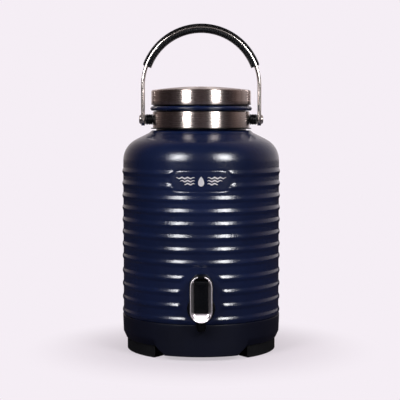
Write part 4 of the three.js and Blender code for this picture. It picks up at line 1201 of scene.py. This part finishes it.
@dataclass
class Studio:
    """Pale seamless floor, two soft boxes, two fill boxes and the camera, in metres."""

    axis_y: float
    distance: float = 1.312
    height: float = 0.2526
    view_deg: float = 18.92
    pitch_deg: float = 3.96
    yaw_deg: float = 0.055
    pale: str = "f5eef5"
    floor: str = "f4ecf6"
    bounce: str = "55505a"
    floor_drop: float = 0.0002
    floor_rings: tuple[float, ...] = (0.02, 0.3, 0.7, 1.2, 2.0, 6.0)
    floor_fade: tuple[float, float, float] = (0.08, 0.2, 0.55)  # from, to, first share
    brightest_way: tuple[float, float, float] = (0.3, 0.954, 0.0)
    room: tuple[tuple[float, str], ...] = (
        (0.0, "584e4d"), (0.1, "4f4645"), (0.25, "383130"), (0.5, "443c3b"), (0.68, "94837f"),
        (0.85, "c4b8b6"), (1.0, "efe6ea"),
    )
    box_azimuth: float = 34.0
    box_distance: float = 1.25
    box_aim_z: float = 0.15
    gloss_power: float = 18.0
    fill_power: float = 7.0
    left_share: float = 0.85

    def build_camera(self) -> None:
        """Camera in front of the tap, a little above the middle, looking slightly down."""
        data = bpy.data.cameras.new("camera")
        data.sensor_fit = "HORIZONTAL"
        data.angle = math.radians(self.view_deg)
        data.clip_start, data.clip_end = 0.02, 20.0
        camera = bpy.data.objects.new("camera", data)
        camera.location = (0.0, self.axis_y - self.distance, self.height)
        camera.rotation_euler = (
            math.radians(90 - self.pitch_deg), 0.0, math.radians(self.yaw_deg)
        )
        bpy.context.scene.collection.objects.link(camera)
        bpy.context.scene.camera = camera

    def build_floor(self) -> None:
        """Round floor: matt and pale under the jug, fading into the colour of the surroundings."""
        radii, angle = np.array(self.floor_rings)[:, None], bearings(96)
        x, y = radii * np.sin(angle), radii * np.cos(angle)
        points = np.stack([x, y, np.zeros_like(x)], -1).reshape(-1, 3)
        faces = [range(96)[::-1], *grid_faces(len(radii), 96, False, True)]
        mesh = bpy.data.meshes.new("studio_floor")
        mesh.from_pydata(points.tolist(), [], [list(map(int, face)) for face in faces])
        floor = bpy.data.objects.new("studio_floor", mesh)
        floor.location.z = -self.floor_drop
        bpy.context.scene.collection.objects.link(floor)
        material = bpy.data.materials.new("painted_studio_floor")
        add = adder(material)
        start, end, first = self.floor_fade
        fade = {
            "interpolation_type": "SMOOTHSTEP", "From Min": start, "From Max": end, "To Min": first,
        }
        spot = add("TexCoord")["Object"]
        away = add("VectorMath", {"operation": "LENGTH"}, {0: spot})["Value"]
        share = add("MapRange", fade, {"Value": away})["Result"]
        matt = add("BsdfDiffuse", {"Color": linear(self.floor)})["BSDF"]
        glow = add("Emission", {"Color": linear(self.pale), "Strength": 1.0})["Emission"]
        seen = add("MixShader", None, {0: share, 1: matt, 2: glow})["Shader"]
        bounce = add("BsdfDiffuse", {"Color": linear(self.bounce)})["BSDF"]
        eye = add("LightPath")["Is Camera Ray"]
        mix = add("MixShader", None, {0: eye, 1: bounce, 2: seen})["Shader"]
        add("OutputMaterial", None, {"Surface": mix})
        mesh.materials.append(material)

    def build_world(self) -> None:
        """Surroundings: pale to the eye; for light and gloss, a dark room with a bright backdrop.

        The backdrop is turned a little so that the right side is brighter than the left.
        """
        world = bpy.data.worlds.new("studio")
        bpy.context.scene.world = world
        add = adder(world)
        way = add("TexCoord")["Generated"]
        tilt = {"operation": "DOT_PRODUCT", 1: self.brightest_way}
        backward = add("VectorMath", tilt, {0: way})["Value"]
        place = add("MapRange", {"From Min": -1.0, "From Max": 1.0}, {"Value": backward})["Result"]
        room = add("ValToRGB", None, {"Fac": place})["Color"]
        elements = room.node.color_ramp.elements
        for spot, _ in self.room[2:]:
            elements.new(spot)
        for element, (spot, colour) in zip(elements, self.room):
            element.position, element.color = spot, linear(colour)
        studio = add("Background", {"Strength": 1.0}, {"Color": room})["Background"]
        pale = {"Color": linear(self.pale), "Strength": 1.0}
        seen = add("Background", pale)["Background"]
        eye = add("LightPath")["Is Camera Ray"]
        mix = add("MixShader", None, {0: eye, 1: studio, 2: seen})["Shader"]
        add("OutputWorld", None, {"Surface": mix})

    def add_box(
        self, name: str, side: int, elevation: float, size: tuple[float, float], power: float,
        gloss: bool,
    ) -> None:
        """One soft box, aimed at the middle of the jug.

        Args:
            name: The light's name.
            side: 1 for the right of the camera and -1 for its left.
            elevation: Degrees above level.
            size: Width and height in metres.
            power: Watts.
            gloss: Whether it only makes highlights; if not, it only makes matt light.
        """
        data = bpy.data.lights.new(name, "AREA")
        data.shape = "RECTANGLE"
        data.size, data.size_y = size
        data.energy = power
        lamp = bpy.data.objects.new(name, data)
        turn, lift = math.radians(side * self.box_azimuth), math.radians(elevation)
        aim = np.array([0.0, self.axis_y, self.box_aim_z])
        level = math.cos(lift)
        away = np.array([math.sin(turn) * level, -math.cos(turn) * level, math.sin(lift)])
        lamp.location = aim + self.box_distance * away
        lamp.rotation_euler = (QUARTER - lift, 0.0, turn)
        lamp.visible_diffuse, lamp.visible_glossy = not gloss, gloss
        bpy.context.scene.collection.objects.link(lamp)

    def build(self) -> None:
        """Builds the camera, the floor, the surroundings and the lights."""
        self.build_camera()
        self.build_floor()
        self.build_world()
        for side, name, share in ((-1, "left", self.left_share), (1, "right", 1.0)):
            power = self.gloss_power * share
            self.add_box(f"soft_box_{name}", side, 24, (0.34, 0.5), power, True)
            self.add_box(f"fill_box_{name}", side, 30, (0.5, 0.5), self.fill_power, False)
        bpy.context.scene.view_settings.view_transform = "Standard"


# ---- the whole jug


def main() -> None:
    """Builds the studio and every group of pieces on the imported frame."""
    logging.basicConfig(level=logging.INFO, format="%(message)s")
    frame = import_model()
    low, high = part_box("lid_shell")
    axis_y = (low[1] + high[1]) / 2
    Studio(axis_y).build()
    palette = Palette(axis_y)
    for maker in (RibbedBody, BaseBoot, Collar, BailHandle, ScrewLid, LeverTap):
        maker(axis_y / MM, palette).build()
        LOG.info("%s is done", maker.__name__)
    dress_carried(frame, palette)


if __name__ == "__main__":
    main()
